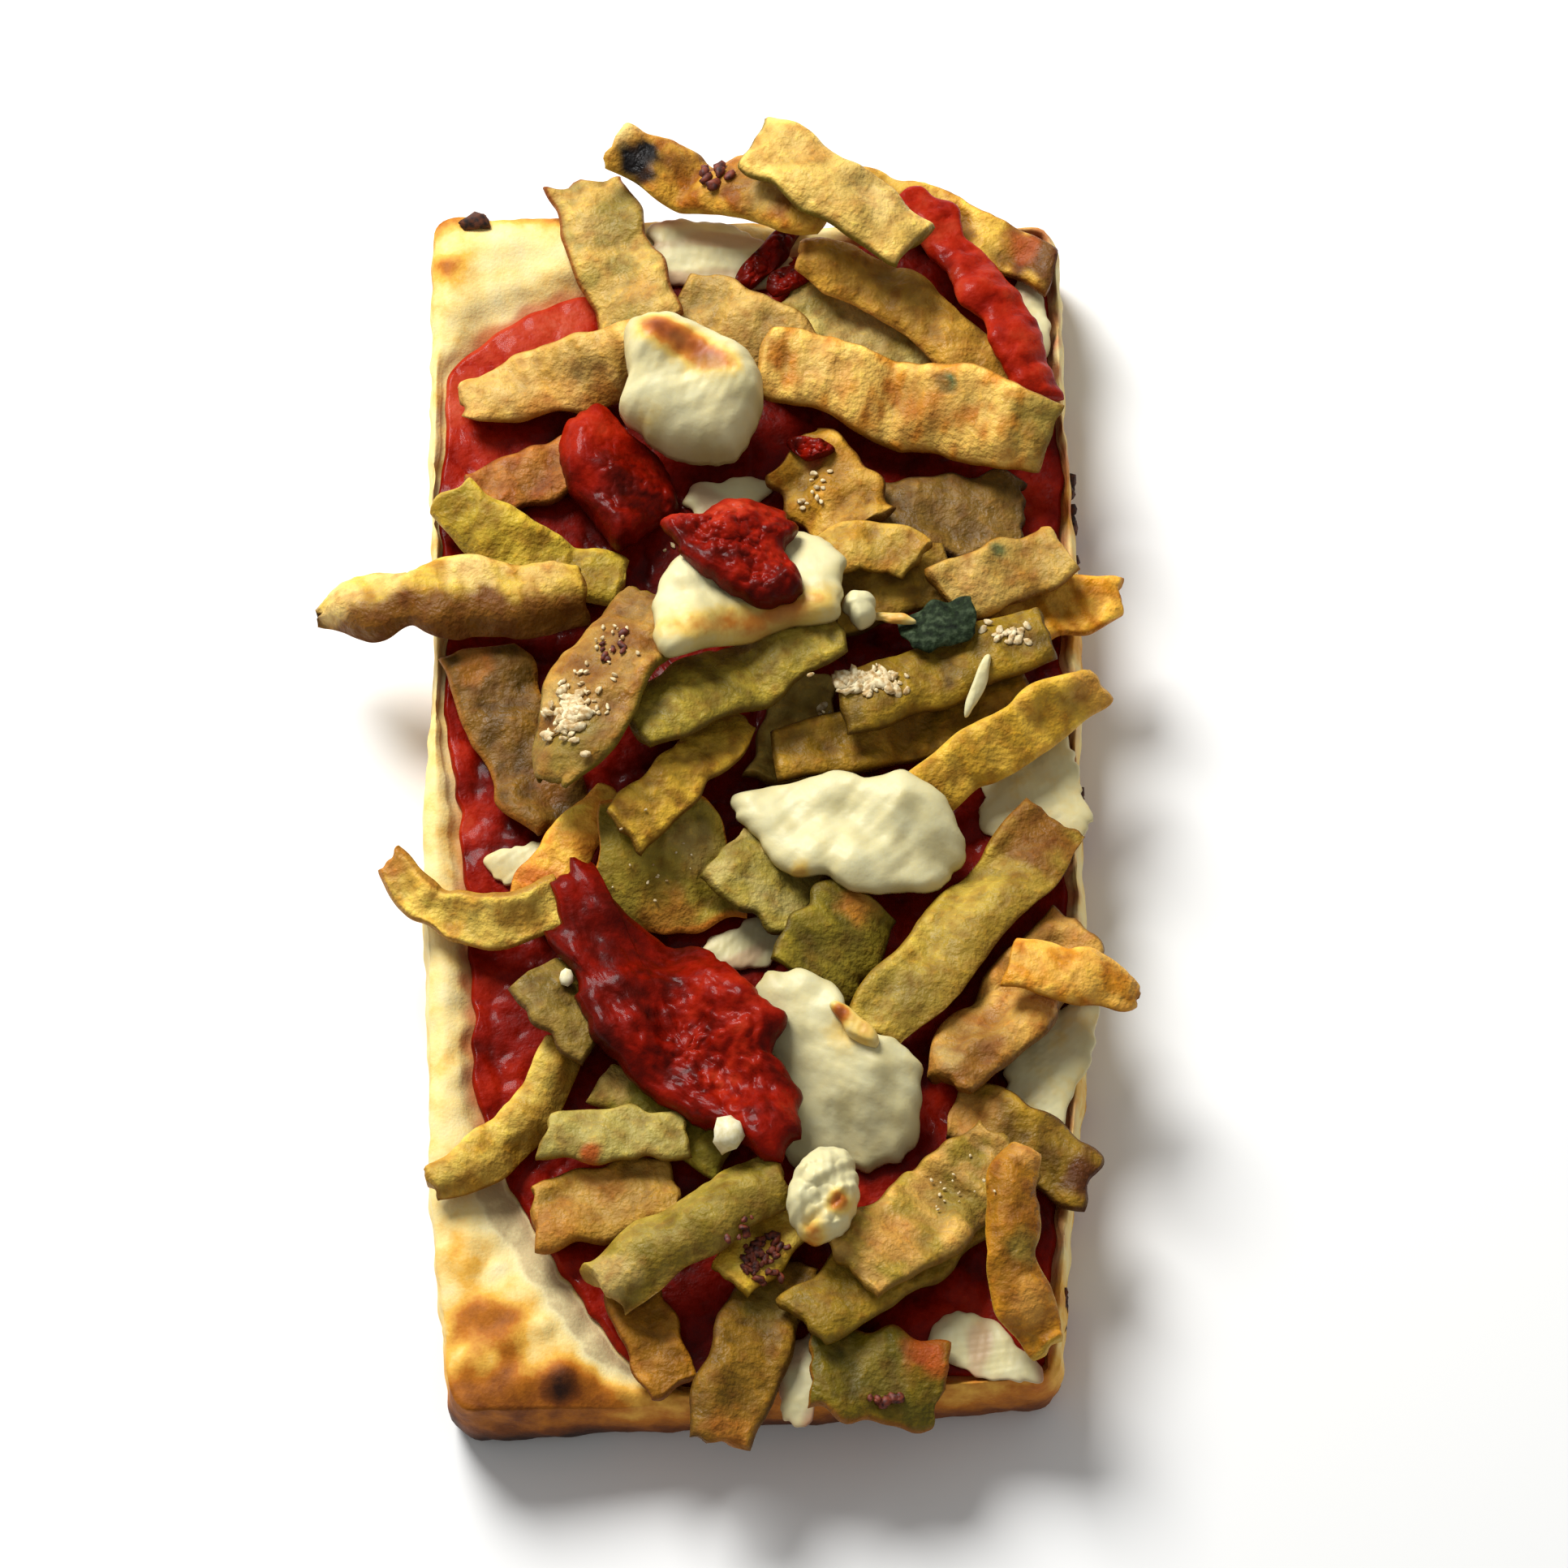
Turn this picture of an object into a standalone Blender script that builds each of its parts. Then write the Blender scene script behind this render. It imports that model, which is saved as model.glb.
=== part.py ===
"""A rectangular slice of pan-baked pizza, topped with tomato sauce, melted cheese and fried aubergine strips.

The frame is +Z up, with +Y along the slice's length and the origin on its flat underside, at the middle.
Lengths in the tables are millimetres, and MM turns them to metres where a mesh is made.

The toppings are laid in the order of LAYERS, from the bottom up, the way they were strewn on. A heap records
the height of everything laid so far, and each new piece sags onto that heap, so nothing overlaps.
"""

from collections import namedtuple

import bmesh
import bpy
import numpy as np

MM = 0.001
GAP = 0.3  # clearance that touching pieces keep

# The crust, a slab with a baked rim round a flat floor
SIDES = (  # from the near end to the far end: the place along the slice, and its left and right side there
    (-101.0, -45.4, 46.4),
    (-66.0, -49.2, 48.6),
    (-38.0, -50.2, 51.6),
    (4.0, -51.0, 51.6),
    (54.0, -51.8, 51.5),
    (84.0, -52.4, 50.0),
    (103.0, -53.0, 48.8),
)
NEAR_END = (-102.6, -98.0)  # at the left and at the right corner
FAR_END = (103.4, 102.0)
CORNER_RADIUS = 4.5
OUTLINE_POINTS = 72
OUTLINE_WANDER = 0.6
FLOOR_HEIGHT = 12.0
RIM_HEIGHT = 14.8
CORNER_RISE = 1.6  # how much higher the rim stands where it is wide
RIM_RELIEF = 0.6

# The sauce that covers the floor and stops short of the rim, and of two bare corners
LEFT_RIM = ((-60, 9.0), (-44, 7.2), (-29, 6.3), (-3, 4.4), (14, 2.0), (54, 1.8), (70, 1.2))
RIGHT_RIM = 2.4
NEAR_RIM = 3.0
FAR_RIM = 2.6
SAUCE_WANDER = 0.6
SAUCE_THICKNESS = 1.9
SAUCE_RELIEF = 0.35
SAUCE_RINGS = (  # the share of the way out, and of the thickness
    (1.0, 0.45), (0.985, 0.85), (0.93, 1.0), (0.8, 1.0), (0.62, 1.0), (0.42, 1.0), (0.2, 1.0),
)
BARE_CORNERS = (  # a point on the sauce's slanting edge, and the direction from there to the bare dough
    ((-49.8, 75.8), (-0.886, 0.464)),
    ((-42.2, 84.5), (-0.555, 0.832)),
    ((-30.2, 89.2), (-0.225, 0.974)),
    ((-26.0, -83.4), (-0.822, -0.569)),
)

# How far a piece follows the heap under it, as the radius of the tightest bend along it and across it
BEND_ALONG = 34.0
BEND_ACROSS = 10.0
SOFT_BEND = 14.0

STRIP_THICKNESS = 3.0
STATIONS = 9
COLUMNS = np.array([-1.0, -0.6, 0.0, 0.6, 1.0])
DEPTHS = np.array([0.6, 1.0, 1.0, 1.0, 0.6])  # the share of the half thickness at each column

BLOB_POINTS = 17
UNDERSIDE = (0.5, 0.86, 1.0)  # the share of the way out of each ring under a lump
DOME = ((0.99, 0.34), (0.90, 0.68), (0.68, 0.92), (0.36, 1.0))  # and over it, with the share of its height

Strip = namedtuple("Strip", "name x y heading length width bend roll lift ends thickness cup waist finish")
Blob = namedtuple("Blob", "name outline height middle bend_radius finish")


def strip(name, x, y, heading, length, width, bend=0.0, roll=(0, 0), lift=(0, 0), ends=(0.85, 0.85),
          thickness=STRIP_THICKNESS, cup=0.6, waist=(0, 0), finish="fried_aubergine"):
    """A strip by the middle of its chord, its compass in degrees from +X, and its chord and width. Bend is
    the bow to the left of the heading, roll the tilt at both ends with the left edge up, lift how far each
    end curls up, and ends the share of the width that is left at each end. Cup is how far its edges hang below
    its middle, and waist where it is narrower and by what share."""
    return Strip(name, x, y, heading, length, width, bend, roll, lift, ends, thickness, cup, waist, finish)


def blob(name, outline, height, middle=None, bend_radius=SOFT_BEND, finish="mozzarella"):
    """A domed lump by the corners of its outline, anticlockwise, and its height. Its rings shrink to its
    middle, which is the mean of its corners where none is given."""
    outline = np.array(outline)
    return Blob(name, outline, height, outline.mean(axis=0) if middle is None else middle, bend_radius, finish)


LAYERS = (
    strip("strip_01", 31.4, 99.6, -28, 38, 9.5, bend=0.5, ends=(0.7, 0.9)),
    strip("strip_02", 17.0, 79.5, -28, 28, 12.0),
    strip("strip_03", 31.2, 47.0, 4, 23, 15.5, ends=(0.9, 0.75)),
    strip("strip_04", 12.0, 50.6, -53, 19, 14.0, lift=(1, 0), cup=0.9),
    strip("strip_05", -35.1, 54.0, 20, 21, 10.0),
    strip("strip_06", -34.2, 42.2, -27, 31, 9.5, bend=-3, roll=(16, 8), ends=(0.7, 0.9), thickness=3.8, cup=0.9),
    strip("strip_07", -36.6, 8.4, -66, 33, 14.0, roll=(8, -6), ends=(0.9, 0.7)),
    strip("strip_08", 45.3, 29.4, 12, 25, 10.0, ends=(0.8, 0.55), thickness=4.2),
    strip("strip_47", 6.4, 10.0, 72, 20, 10.0),
    strip("strip_48", 20.5, 32.5, 14, 22, 11.0),
    strip("strip_09", 23.4, 8.4, 16, 42, 10.0, roll=(10, 16), thickness=3.6),
    strip("strip_10", 29.7, 16.2, 23, 35, 10.5, roll=(5, 14), thickness=4.0, cup=0.9),
    strip("strip_11", -28.4, -12.3, 54, 23, 8.0, roll=(-14, -18), ends=(0.7, 0.6), thickness=2.4),
    strip("strip_12", -13.6, -14.8, 5, 21, 20.5, ends=(0.95, 0.85), thickness=2.2, cup=0.4),
    strip("strip_13", 2.2, -17.4, -30, 15, 13.5),
    strip("strip_14", 12.4, -27.7, 58, 17, 13.0),
    strip("strip_15", -10.5, -2.0, 48, 28, 8.5, roll=(-6, -18), ends=(0.9, 0.45), waist=(0.1, 0.25)),
    strip("strip_16", -2.8, 13.4, 29, 37, 12.5, roll=(10, 12), thickness=3.6),
    strip("strip_17", -42.0, -17.8, -15, 29, 8.5, bend=-6.5, roll=(24, 28), lift=(2.5, 0), ends=(0.6, 0.8), cup=-0.9,
          waist=(-0.35, 0.2)),
    strip("strip_18", -38.3, -56.2, 50, 30, 8.0, bend=-3.5, roll=(18, 28), ends=(0.6, 0.8), thickness=3.8),
    strip("strip_19", -28.4, -40.0, -50, 15, 10.5),
    strip("strip_20", -22.2, -69.6, 14, 22, 12.0, roll=(6, 10), thickness=4.2),
    strip("strip_21", -13.4, -56.0, -33, 23, 8.0, roll=(20, 24), thickness=2.8),
    strip("strip_22", -20.6, -60.2, 1, 21, 9.0, roll=(8, 12), ends=(0.75, 0.85), waist=(0.45, 0.2)),
    strip("strip_23", -15.3, -90.3, -68, 19, 8.5),
    strip("strip_24", 18.6, -97.2, -6, 20, 14.0),
    strip("strip_25", 0.0, -93.0, -109, 31, 12.0, ends=(0.9, 0.75)),
    strip("strip_26", 4.2, -75.0, 50, 23, 8.5, roll=(14, 18), thickness=2.6),
    strip("strip_27", -8.6, -76.8, 33, 32, 10.0, roll=(12, 10), ends=(0.95, 0.85), thickness=4.4, cup=1.0),
    strip("strip_28", 20.0, -80.4, 38, 32, 12.0, roll=(16, 16), ends=(0.85, 0.9), thickness=2.4),
    strip("strip_29", 41.0, -60.0, -31, 24, 11.0),
    strip("strip_31", 26.9, -72.8, 40, 32, 14.5, thickness=3.2, cup=0.6),
    strip("strip_30", 42.2, -79.0, -84, 30, 8.0, bend=-3.5, roll=(12, 26), ends=(0.45, 0.6), cup=1.0,
          waist=(0.05, 0.3)),
    strip("strip_32", 39.9, -38.0, 53, 34, 12.5, ends=(0.6, 0.9), thickness=3.6),
    strip("strip_33", 48.8, -35.8, -13, 20, 8.0, roll=(10, 14), ends=(0.9, 0.3), thickness=3.8, cup=0.9),
    strip("strip_34", 32.6, -25.4, 52, 47, 12.5, roll=(8, 4), ends=(0.8, 0.9), thickness=3.4),
    strip("strip_35", 39.0, 5.6, 34, 35, 9.0, roll=(26, 28), ends=(0.8, 0.5), thickness=4.6, cup=1.0),
    strip("strip_36", 39.2, 33.2, 23, 21, 10.0, roll=(10, 12), thickness=4.2),
    strip("strip_37", 17.6, 35.0, -3, 16, 7.5, bend=2.5, roll=(8, 8), ends=(0.9, 0.7), thickness=3.2, cup=1.2),
    strip("strip_38", -0.7, 79.0, -33, 26, 11.5),
    strip("strip_39", 23.6, 78.2, -38, 42, 9.5, bend=4.5, roll=(16, 12), ends=(0.4, 0.9), thickness=3.6, cup=0.9),
    strip("sauce_smear", 34.5, 84.0, -62, 44, 7.5, bend=2.5, ends=(0.6, 0.95), cup=1.0, finish="tomato_sauce"),
    strip("strip_40", 24.2, 64.6, -18, 48, 12.0, roll=(5, 5), ends=(0.85, 0.8), thickness=3.6),
    strip("strip_41", -22.3, 92.7, -70, 31, 13.5, ends=(0.9, 0.95), thickness=2.8, cup=0.5),
    strip("strip_42", -5.4, 103.2, -23, 38, 10.5, roll=(18, 20), lift=(2, 0), ends=(0.7, 0.8), thickness=3.4),
    strip("strip_43", 12.8, 98.0, -36, 31, 11.5, roll=(8, 6), ends=(0.85, 0.75), thickness=4.2, cup=1.0),
    strip("strip_44", -31.5, 70.4, 12, 31, 11.0, roll=(8, 10), ends=(0.4, 0.9), thickness=4.0, cup=1.0),
    strip("strip_45", -47.3, 29.8, 0, 42, 13.5, roll=(24, 18), ends=(0.2, 0.6), thickness=4.2, cup=2.4,
          waist=(-0.3, 0.42)),
    strip("strip_46", -23.0, 10.6, 66, 36, 15.0, roll=(2, 8), ends=(0.4, 0.65), thickness=3.2),
    strip("herb_leaf", 28.8, 22.6, 15, 11, 8.0, roll=(-10, 15), thickness=0.9, cup=0.5, finish="herb"),
    blob("cheese_middle", ((-2.5, -7.5), (0.5, -11.5), (3.0, -16.0), (7.0, -18.5), (11.0, -18.5), (14.5, -21.0),
                           (19.5, -21.0), (26.0, -20.0), (30.0, -17.5), (32.5, -14.0), (31.5, -8.5), (28.5, -4.5),
                           (24.0, -1.5), (18.5, -2.0), (13.5, -0.5), (7.0, -2.0), (2.0, -3.0), (-3.0, -4.0)), 3.6),
    blob("cheese_front", ((1.5, -44.0), (3.5, -50.5), (4.0, -58.5), (6.5, -63.0), (10.0, -62.0), (14.0, -62.5),
                          (17.5, -63.5), (21.5, -62.5), (25.0, -60.0), (25.5, -54.0), (25.5, -49.5), (22.5, -46.0),
                          (18.5, -44.5), (14.5, -40.5), (13.5, -38.0), (9.5, -35.0), (4.5, -35.0), (0.5, -36.5)), 3.6),
    blob("cheese_crumbly", ((7.0, -78.5), (10.0, -79.5), (13.5, -78.5), (15.5, -75.0), (16.0, -70.0), (15.0, -65.0),
                            (11.5, -64.0), (8.0, -66.0), (5.5, -70.5), (5.5, -75.5)), 5.4),
    blob("cheese_slab", ((-15.0, 24.0), (-14.5, 13.5), (-7.5, 15.0), (3.0, 19.5), (12.5, 21.5), (14.0, 28.0),
                         (13.5, 34.0), (9.0, 38.0), (3.0, 39.0), (-3.5, 37.0), (-10.0, 34.0), (-14.0, 29.0)), 4.4),
    blob("sauce_dollop_left", ((-30.5, 56.0), (-29.5, 51.5), (-27.0, 46.5), (-24.0, 43.0), (-21.5, 39.5),
                               (-18.5, 41.5), (-15.0, 45.5), (-12.0, 48.5), (-12.5, 52.5), (-14.0, 56.0),
                               (-16.5, 58.5), (-19.5, 60.5), (-22.0, 63.0), (-25.0, 65.0), (-28.5, 63.5),
                               (-30.5, 60.5)), 5.0, finish="tomato_sauce"),
    blob("sauce_dollop_middle", ((-12.0, 32.0), (-10.0, 28.5), (-4.0, 24.0), (0.0, 22.0), (3.0, 21.5), (7.5, 23.5),
                                 (7.0, 27.5), (5.0, 32.5), (7.0, 36.5), (3.5, 41.0), (-1.0, 42.5), (-5.5, 41.0),
                                 (-8.5, 37.5), (-14.0, 37.0)), 4.0, finish="tomato_sauce"),
    blob("sauce_dollop_front", ((-29.5, -19.5), (-30.5, -25.0), (-30.0, -31.0), (-27.0, -35.5), (-26.0, -40.5),
                                (-24.0, -46.0), (-21.0, -49.5), (-16.5, -53.5), (-10.5, -57.5), (-5.5, -61.5),
                                (-1.0, -64.0), (2.0, -66.0), (5.5, -64.5), (7.5, -59.5), (7.0, -54.5), (5.0, -51.0),
                                (3.5, -48.5), (4.5, -44.5), (4.0, -41.5), (1.0, -39.0), (-1.5, -35.5),
                                (-4.5, -32.0), (-8.0, -29.0), (-14.0, -27.0), (-20.0, -24.5), (-23.0, -20.0),
                                (-24.5, -17.0), (-28.0, -16.5)), 4.4, middle=(-10.0, -48.0), finish="tomato_sauce"),
    blob("cheese_browned", ((-20.5, 71.5), (-20.0, 67.0), (-21.0, 61.5), (-17.5, 58.0), (-11.0, 54.5), (-5.5, 54.0),
                            (-1.5, 55.5), (1.0, 61.0), (1.5, 65.5), (0.0, 69.0), (-4.0, 73.0), (-11.0, 76.5),
                            (-15.5, 77.5), (-20.0, 75.0)), 8.4, bend_radius=24),
)

COLOURS = {  # base colour as sRGB hex, and roughness
    "baked_dough": ("e2bd74", 0.75),
    "tomato_sauce": ("9c2013", 0.30),
    "fried_aubergine": ("b98d45", 0.60),
    "mozzarella": ("ece3bd", 0.45),
    "herb": ("3f4f36", 0.65),
}


def turned(degrees):
    """The unit vector at a compass angle, and the one to its left."""
    angle = np.radians(degrees)
    ahead = np.array([np.cos(angle), np.sin(angle)])
    return ahead, np.array([-ahead[1], ahead[0]])


def ripple(x, y, wavelength, seed):
    """A smooth random field between about -1 and 1: six sine waves that cross in seeded directions."""
    draw = np.random.default_rng(seed)
    total = np.zeros(np.broadcast(x, y).shape)
    for angle, phase, stretch in zip(draw.uniform(0, np.pi, 6), draw.uniform(0, 2 * np.pi, 6),
                                     draw.uniform(0.7, 1.5, 6)):
        wave = 2 * np.pi / (wavelength * stretch)
        total += np.sin(wave * (x * np.cos(angle) + y * np.sin(angle)) + phase)
    return total / 3.5


def seed_of(name):
    """A fixed number for each name, for the seeded draws."""
    return sum((place + 1) * ord(letter) for place, letter in enumerate(name))


class Heap:
    """The height of everything laid so far, on a grid of square cells. A cell keeps the highest point of
    itself and its neighbours, so a piece laid on it clears steep sides too."""

    CELL = 0.5
    LOW = np.array([-80.0, -125.0])
    SHAPE = (320, 500)

    def __init__(self):
        self.height = np.zeros(self.SHAPE)

    def cells(self, x, y):
        """The row and column of each place, held inside the grid."""
        row = np.clip(((x - self.LOW[0]) / self.CELL).astype(int), 0, self.SHAPE[0] - 1)
        column = np.clip(((y - self.LOW[1]) / self.CELL).astype(int), 0, self.SHAPE[1] - 1)
        return row, column

    def under(self, x, y):
        """The heap's height at each place."""
        return self.height[self.cells(x, y)]

    def add(self, points, faces, steps=24):
        """Lays a mesh on the heap. Each triangle is sprinkled with an even lattice of points, and every cell
        takes the highest point that falls in it or beside it."""
        corners = [(face[0], face[k], face[k + 1]) for face in faces for k in range(1, len(face) - 1)]
        corners = np.array(corners)
        first, second = np.meshgrid(np.arange(steps + 1), np.arange(steps + 1))
        inside = first + second <= steps
        a, b = first[inside] / steps, second[inside] / steps
        weights = np.stack([1 - a - b, a, b], axis=1)
        spots = np.einsum("kw,twc->tkc", weights, points[corners]).reshape(-1, 3)
        layer = np.zeros(self.SHAPE)
        np.maximum.at(layer, self.cells(spots[:, 0], spots[:, 1]), spots[:, 2])
        for axis in (0, 1):
            layer = np.maximum.reduce([layer, np.roll(layer, 1, axis), np.roll(layer, -1, axis)])
        self.height = np.maximum(self.height, layer)


def sagged(at, on, need, radii):
    """The height of a piece at the places `at`, given the lowest heights that it may have at the places `on`:
    from each of them a parabola falls away, no tighter than the bend radii, and the highest one counts.
    Places are pairs of distances, along the piece and across it."""
    away = at[:, None, :] - on[None, :, :]
    fall = (away**2 / (2 * np.array(radii))).sum(axis=2)
    return (need[None, :] - fall).max(axis=1)


def taper(s, ends):
    """The share of a strip's width at s from -1 to 1: full in the middle and drawn in towards both ends."""
    start = 1 - (1 - ends[0]) * np.clip(-s, 0, 1) ** 3
    finish = 1 - (1 - ends[1]) * np.clip(s, 0, 1) ** 3
    return start * finish


def strip_places(piece, s, t):
    """Where the point at s along and t across, both from -1 to 1, lies in plan, with its distance across and
    the tangent of its roll. The centre line is a shallow bow with a slight wander, and both ends are cut at a
    slant."""
    ahead, left = turned(piece.heading)
    draw = np.random.default_rng(seed_of(piece.name))
    wander = 0.035 * piece.width * np.sin(2.2 * np.pi * s + draw.uniform(0, 6.28))
    roll = np.radians(piece.roll[0] + (piece.roll[1] - piece.roll[0]) * (s + 1) / 2)
    swell = 1 + 0.05 * np.sin(3.1 * np.pi * s + draw.uniform(0, 6.28))
    swell = swell * (1 - piece.waist[1] * np.exp(-((s - piece.waist[0]) / 0.16) ** 2))
    across = t * piece.width / 2 * taper(s, piece.ends) * swell * np.cos(roll)
    slide = np.stack([-2 * piece.bend * s, np.full_like(s, piece.length / 2)], axis=-1)
    slide = slide / np.linalg.norm(slide, axis=-1, keepdims=True)
    slant = np.where(s < 0, *draw.uniform(-0.3, 0.3, 2)) * np.abs(s) ** 3
    along = piece.length / 2 * s + across * (slant - slide[..., 0])
    aside = piece.bend * (1 - s**2) + wander + across * slide[..., 1]
    x = piece.x + along * ahead[0] + aside * left[0]
    y = piece.y + along * ahead[1] + aside * left[1]
    return x, y, across, np.tan(roll)


def strip_middle(piece, heap, s, t):
    """The strip's middle surface as an array of points: it sags onto the heap, rolls, cups and curls up."""
    fine_s, fine_t = (grid.ravel() for grid in np.meshgrid(np.linspace(-1, 1, 45), np.linspace(-1, 1, 11)))
    x, y, across, slope = strip_places(piece, fine_s, fine_t)
    half = piece.thickness / 2 * np.sqrt(1 + slope**2)
    need = heap.under(x, y) + GAP + half - across * slope + piece.cup * fine_t**2
    on = np.stack([fine_s * piece.length / 2, across], axis=1)
    x, y, across, slope = strip_places(piece, s.ravel(), t.ravel())
    at = np.stack([s.ravel() * piece.length / 2, across], axis=1)
    spacing = 0.3 * piece.width
    z = sagged(at, on, need, (BEND_ALONG, BEND_ACROSS)) + across * slope + spacing**2 / (8 * BEND_ACROSS)
    z = z - piece.cup * t.ravel() ** 2 + 0.09 * abs(piece.cup)
    z = z + np.where(s.ravel() < 0, piece.lift[0], piece.lift[1]) * np.abs(s.ravel()) ** 2.5
    return np.stack([x, y, z], axis=1).reshape(*s.shape, 3)


def strip_mesh(piece, heap):
    """A strip as rings of ten points round its middle surface, with cut sides and a cap at both ends."""
    s, t = np.meshgrid(np.linspace(-1, 1, STATIONS), COLUMNS, indexing="ij")
    middle = strip_middle(piece, heap, s, t)
    along, across = np.gradient(middle, axis=(0, 1))
    normal = np.cross(along, across)
    normal = normal / np.linalg.norm(normal, axis=2, keepdims=True)
    depth = piece.thickness / 2 * DEPTHS[None, :, None]
    rings = np.concatenate([middle + normal * depth, (middle - normal * depth)[:, ::-1]], axis=1)
    size = rings.shape[1]
    points = rings.reshape(-1, 3)
    faces = [
        (i * size + j, i * size + (j + 1) % size, (i + 1) * size + (j + 1) % size, (i + 1) * size + j)
        for i in range(STATIONS - 1)
        for j in range(size)
    ]
    last = (STATIONS - 1) * size
    for start in (0, last):
        # Each end is closed with quads between the upper and the lower points.
        faces += [(start + j, start + j + 1, start + 8 - j, start + 9 - j) for j in range(4)]
    return points, faces


def blob_places(piece, share, turn):
    """Where the point at that share of the way out and that share of a turn lies in plan. The outline is a
    smooth closed curve through the corners, whose slope at each is half the step between its neighbours."""
    count = len(piece.outline)
    corner = np.floor(turn * count).astype(int)
    u = (turn * count - corner)[:, None]
    before, start, end, after = (piece.outline[(corner + step) % count] for step in (-1, 0, 1, 2))
    edge = ((2 * u**3 - 3 * u**2 + 1) * start + (u**3 - 2 * u**2 + u) * (end - before) / 2
            + (3 * u**2 - 2 * u**3) * end + (u**3 - u**2) * (after - start) / 2)
    return piece.middle + share[:, None] * (edge - piece.middle)


def blob_mesh(piece, heap):
    """A domed lump whose underside sags onto the heap: rings from the middle of its underside out to its
    edge, and back over the top to its crown."""
    shares, turns = (grid.ravel() for grid in np.meshgrid(np.linspace(0, 1, 16), np.arange(48) / 48))
    on = blob_places(piece, shares, turns)
    facet = 0.25 * np.ptp(piece.outline, axis=0).max()
    need = heap.under(*on.T) + GAP + facet**2 / (16 * piece.bend_radius)
    radii = (piece.bend_radius, piece.bend_radius)
    around = np.arange(BLOB_POINTS) / BLOB_POINTS

    def ring(share, rise):
        at = blob_places(piece, np.full(BLOB_POINTS, share), around)
        lump = 1 + 0.12 * ripple(*at.T, 14, seed_of(piece.name))
        z = sagged(at, on, need, radii) + piece.height * rise * np.where(rise > 0.5, lump, 1)
        return np.column_stack([at, z])

    rings = [ring(share, 0) for share in UNDERSIDE] + [ring(share, rise) for share, rise in DOME]
    points = np.concatenate([ring(0.0, 0)[:1], *rings, ring(0.0, 1.0)[:1]])
    crown = len(points) - 1
    faces = []
    for j in range(BLOB_POINTS):
        k = (j + 1) % BLOB_POINTS
        faces.append((0, 1 + k, 1 + j))
        for i in range(len(rings) - 1):
            start, after = 1 + i * BLOB_POINTS, 1 + (i + 1) * BLOB_POINTS
            faces.append((start + j, start + k, after + k, after + j))
        start = 1 + (len(rings) - 1) * BLOB_POINTS
        faces.append((start + j, start + k, crown))
    return points, faces


def left_and_right(y):
    """Where the slice's two long sides are at a place along it."""
    rows = np.array(SIDES)
    return np.interp(y, rows[:, 0], rows[:, 1]), np.interp(y, rows[:, 0], rows[:, 2])


def near_and_far(x):
    """Where the slice's two short ends are at a place across it."""
    corners = (SIDES[0][1], SIDES[0][2])
    return np.interp(x, corners, NEAR_END), np.interp(x, corners, FAR_END)


def slab_outline(count):
    """Points spaced evenly along a rectangle with round corners, anticlockwise from the middle of its right
    side, then bent to the slice's own sides and ends, with a slight wander in and out."""
    half = np.array([50.0, 100.0])
    flat = half - CORNER_RADIUS
    arc = np.pi / 2 * CORNER_RADIUS
    lengths = [flat[1], arc, 2 * flat[0], arc, 2 * flat[1], arc, 2 * flat[0], arc, flat[1]]
    stops = np.concatenate([[0], np.cumsum(lengths)])
    centres = flat * ((1, 1), (-1, 1), (-1, -1), (1, -1))
    starts = np.array([(half[0], 0), (flat[0], half[1]), (-half[0], flat[1]), (-flat[0], -half[1]),
                       (half[0], -flat[1])])
    outline = []
    for distance in np.arange(count) / count * stops[-1]:
        part = int(np.searchsorted(stops, distance, side="right")) - 1
        past = distance - stops[part]
        side, turning = divmod(part, 2)
        if turning:
            angle = side * np.pi / 2 + past / CORNER_RADIUS
            outline.append(centres[side] + CORNER_RADIUS * np.array([np.cos(angle), np.sin(angle)]))
        else:
            ahead, _ = turned(90 + 90 * side)
            outline.append(starts[side] + past * ahead)
    u, v = (np.array(outline) / half).T
    wander = 1 + OUTLINE_WANDER / half[0] * ripple(u * half[0], v * half[1], 46, 3)
    near, far = near_and_far(u * half[0])
    y = near + (far - near) * (v + 1) / 2
    left, right = left_and_right(y)
    return np.column_stack([(left + (right - left) * (u + 1) / 2) * wander, y])


def sauce_field(x, y):
    """How far a place is inside the sauce's edge: the least distance to the four rims and to the slanting
    edges of the bare corners, with a wander."""
    left, right = left_and_right(y)
    near, far = near_and_far(x)
    inside = np.minimum(x - left - np.interp(y, *np.transpose(LEFT_RIM)), right - RIGHT_RIM - x)
    inside = np.minimum(inside, np.minimum(y - near - NEAR_RIM, far - FAR_RIM - y))
    for (at_x, at_y), (to_x, to_y) in BARE_CORNERS:
        inside = np.minimum(inside, (at_x - x) * to_x + (at_y - y) * to_y)
    return inside + SAUCE_WANDER * ripple(x, y, 24, 8)


def sauce_outline(outline):
    """The sauce's edge on the line from the slab's middle to each outline point, found by halving."""
    near, far = np.zeros(len(outline)), np.ones(len(outline))
    for _ in range(24):
        middle = (near + far) / 2
        inside = sauce_field(*(outline * middle[:, None]).T) > 0
        near, far = np.where(inside, middle, near), np.where(inside, far, middle)
    return outline * near[:, None]


def lofted(rings):
    """Rings with the same number of points as one closed mesh: its points, its sides, and its last and first
    flat cap."""
    count = len(rings[0])
    faces = []
    for i in range(len(rings) - 1):
        for j in range(count):
            k = (j + 1) % count
            faces.append((i * count + j, i * count + k, (i + 1) * count + k, (i + 1) * count + j))
    last = (len(rings) - 1) * count
    caps = [tuple(range(last, last + count)), tuple(reversed(range(count)))]
    return np.concatenate(rings), faces, caps


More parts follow.
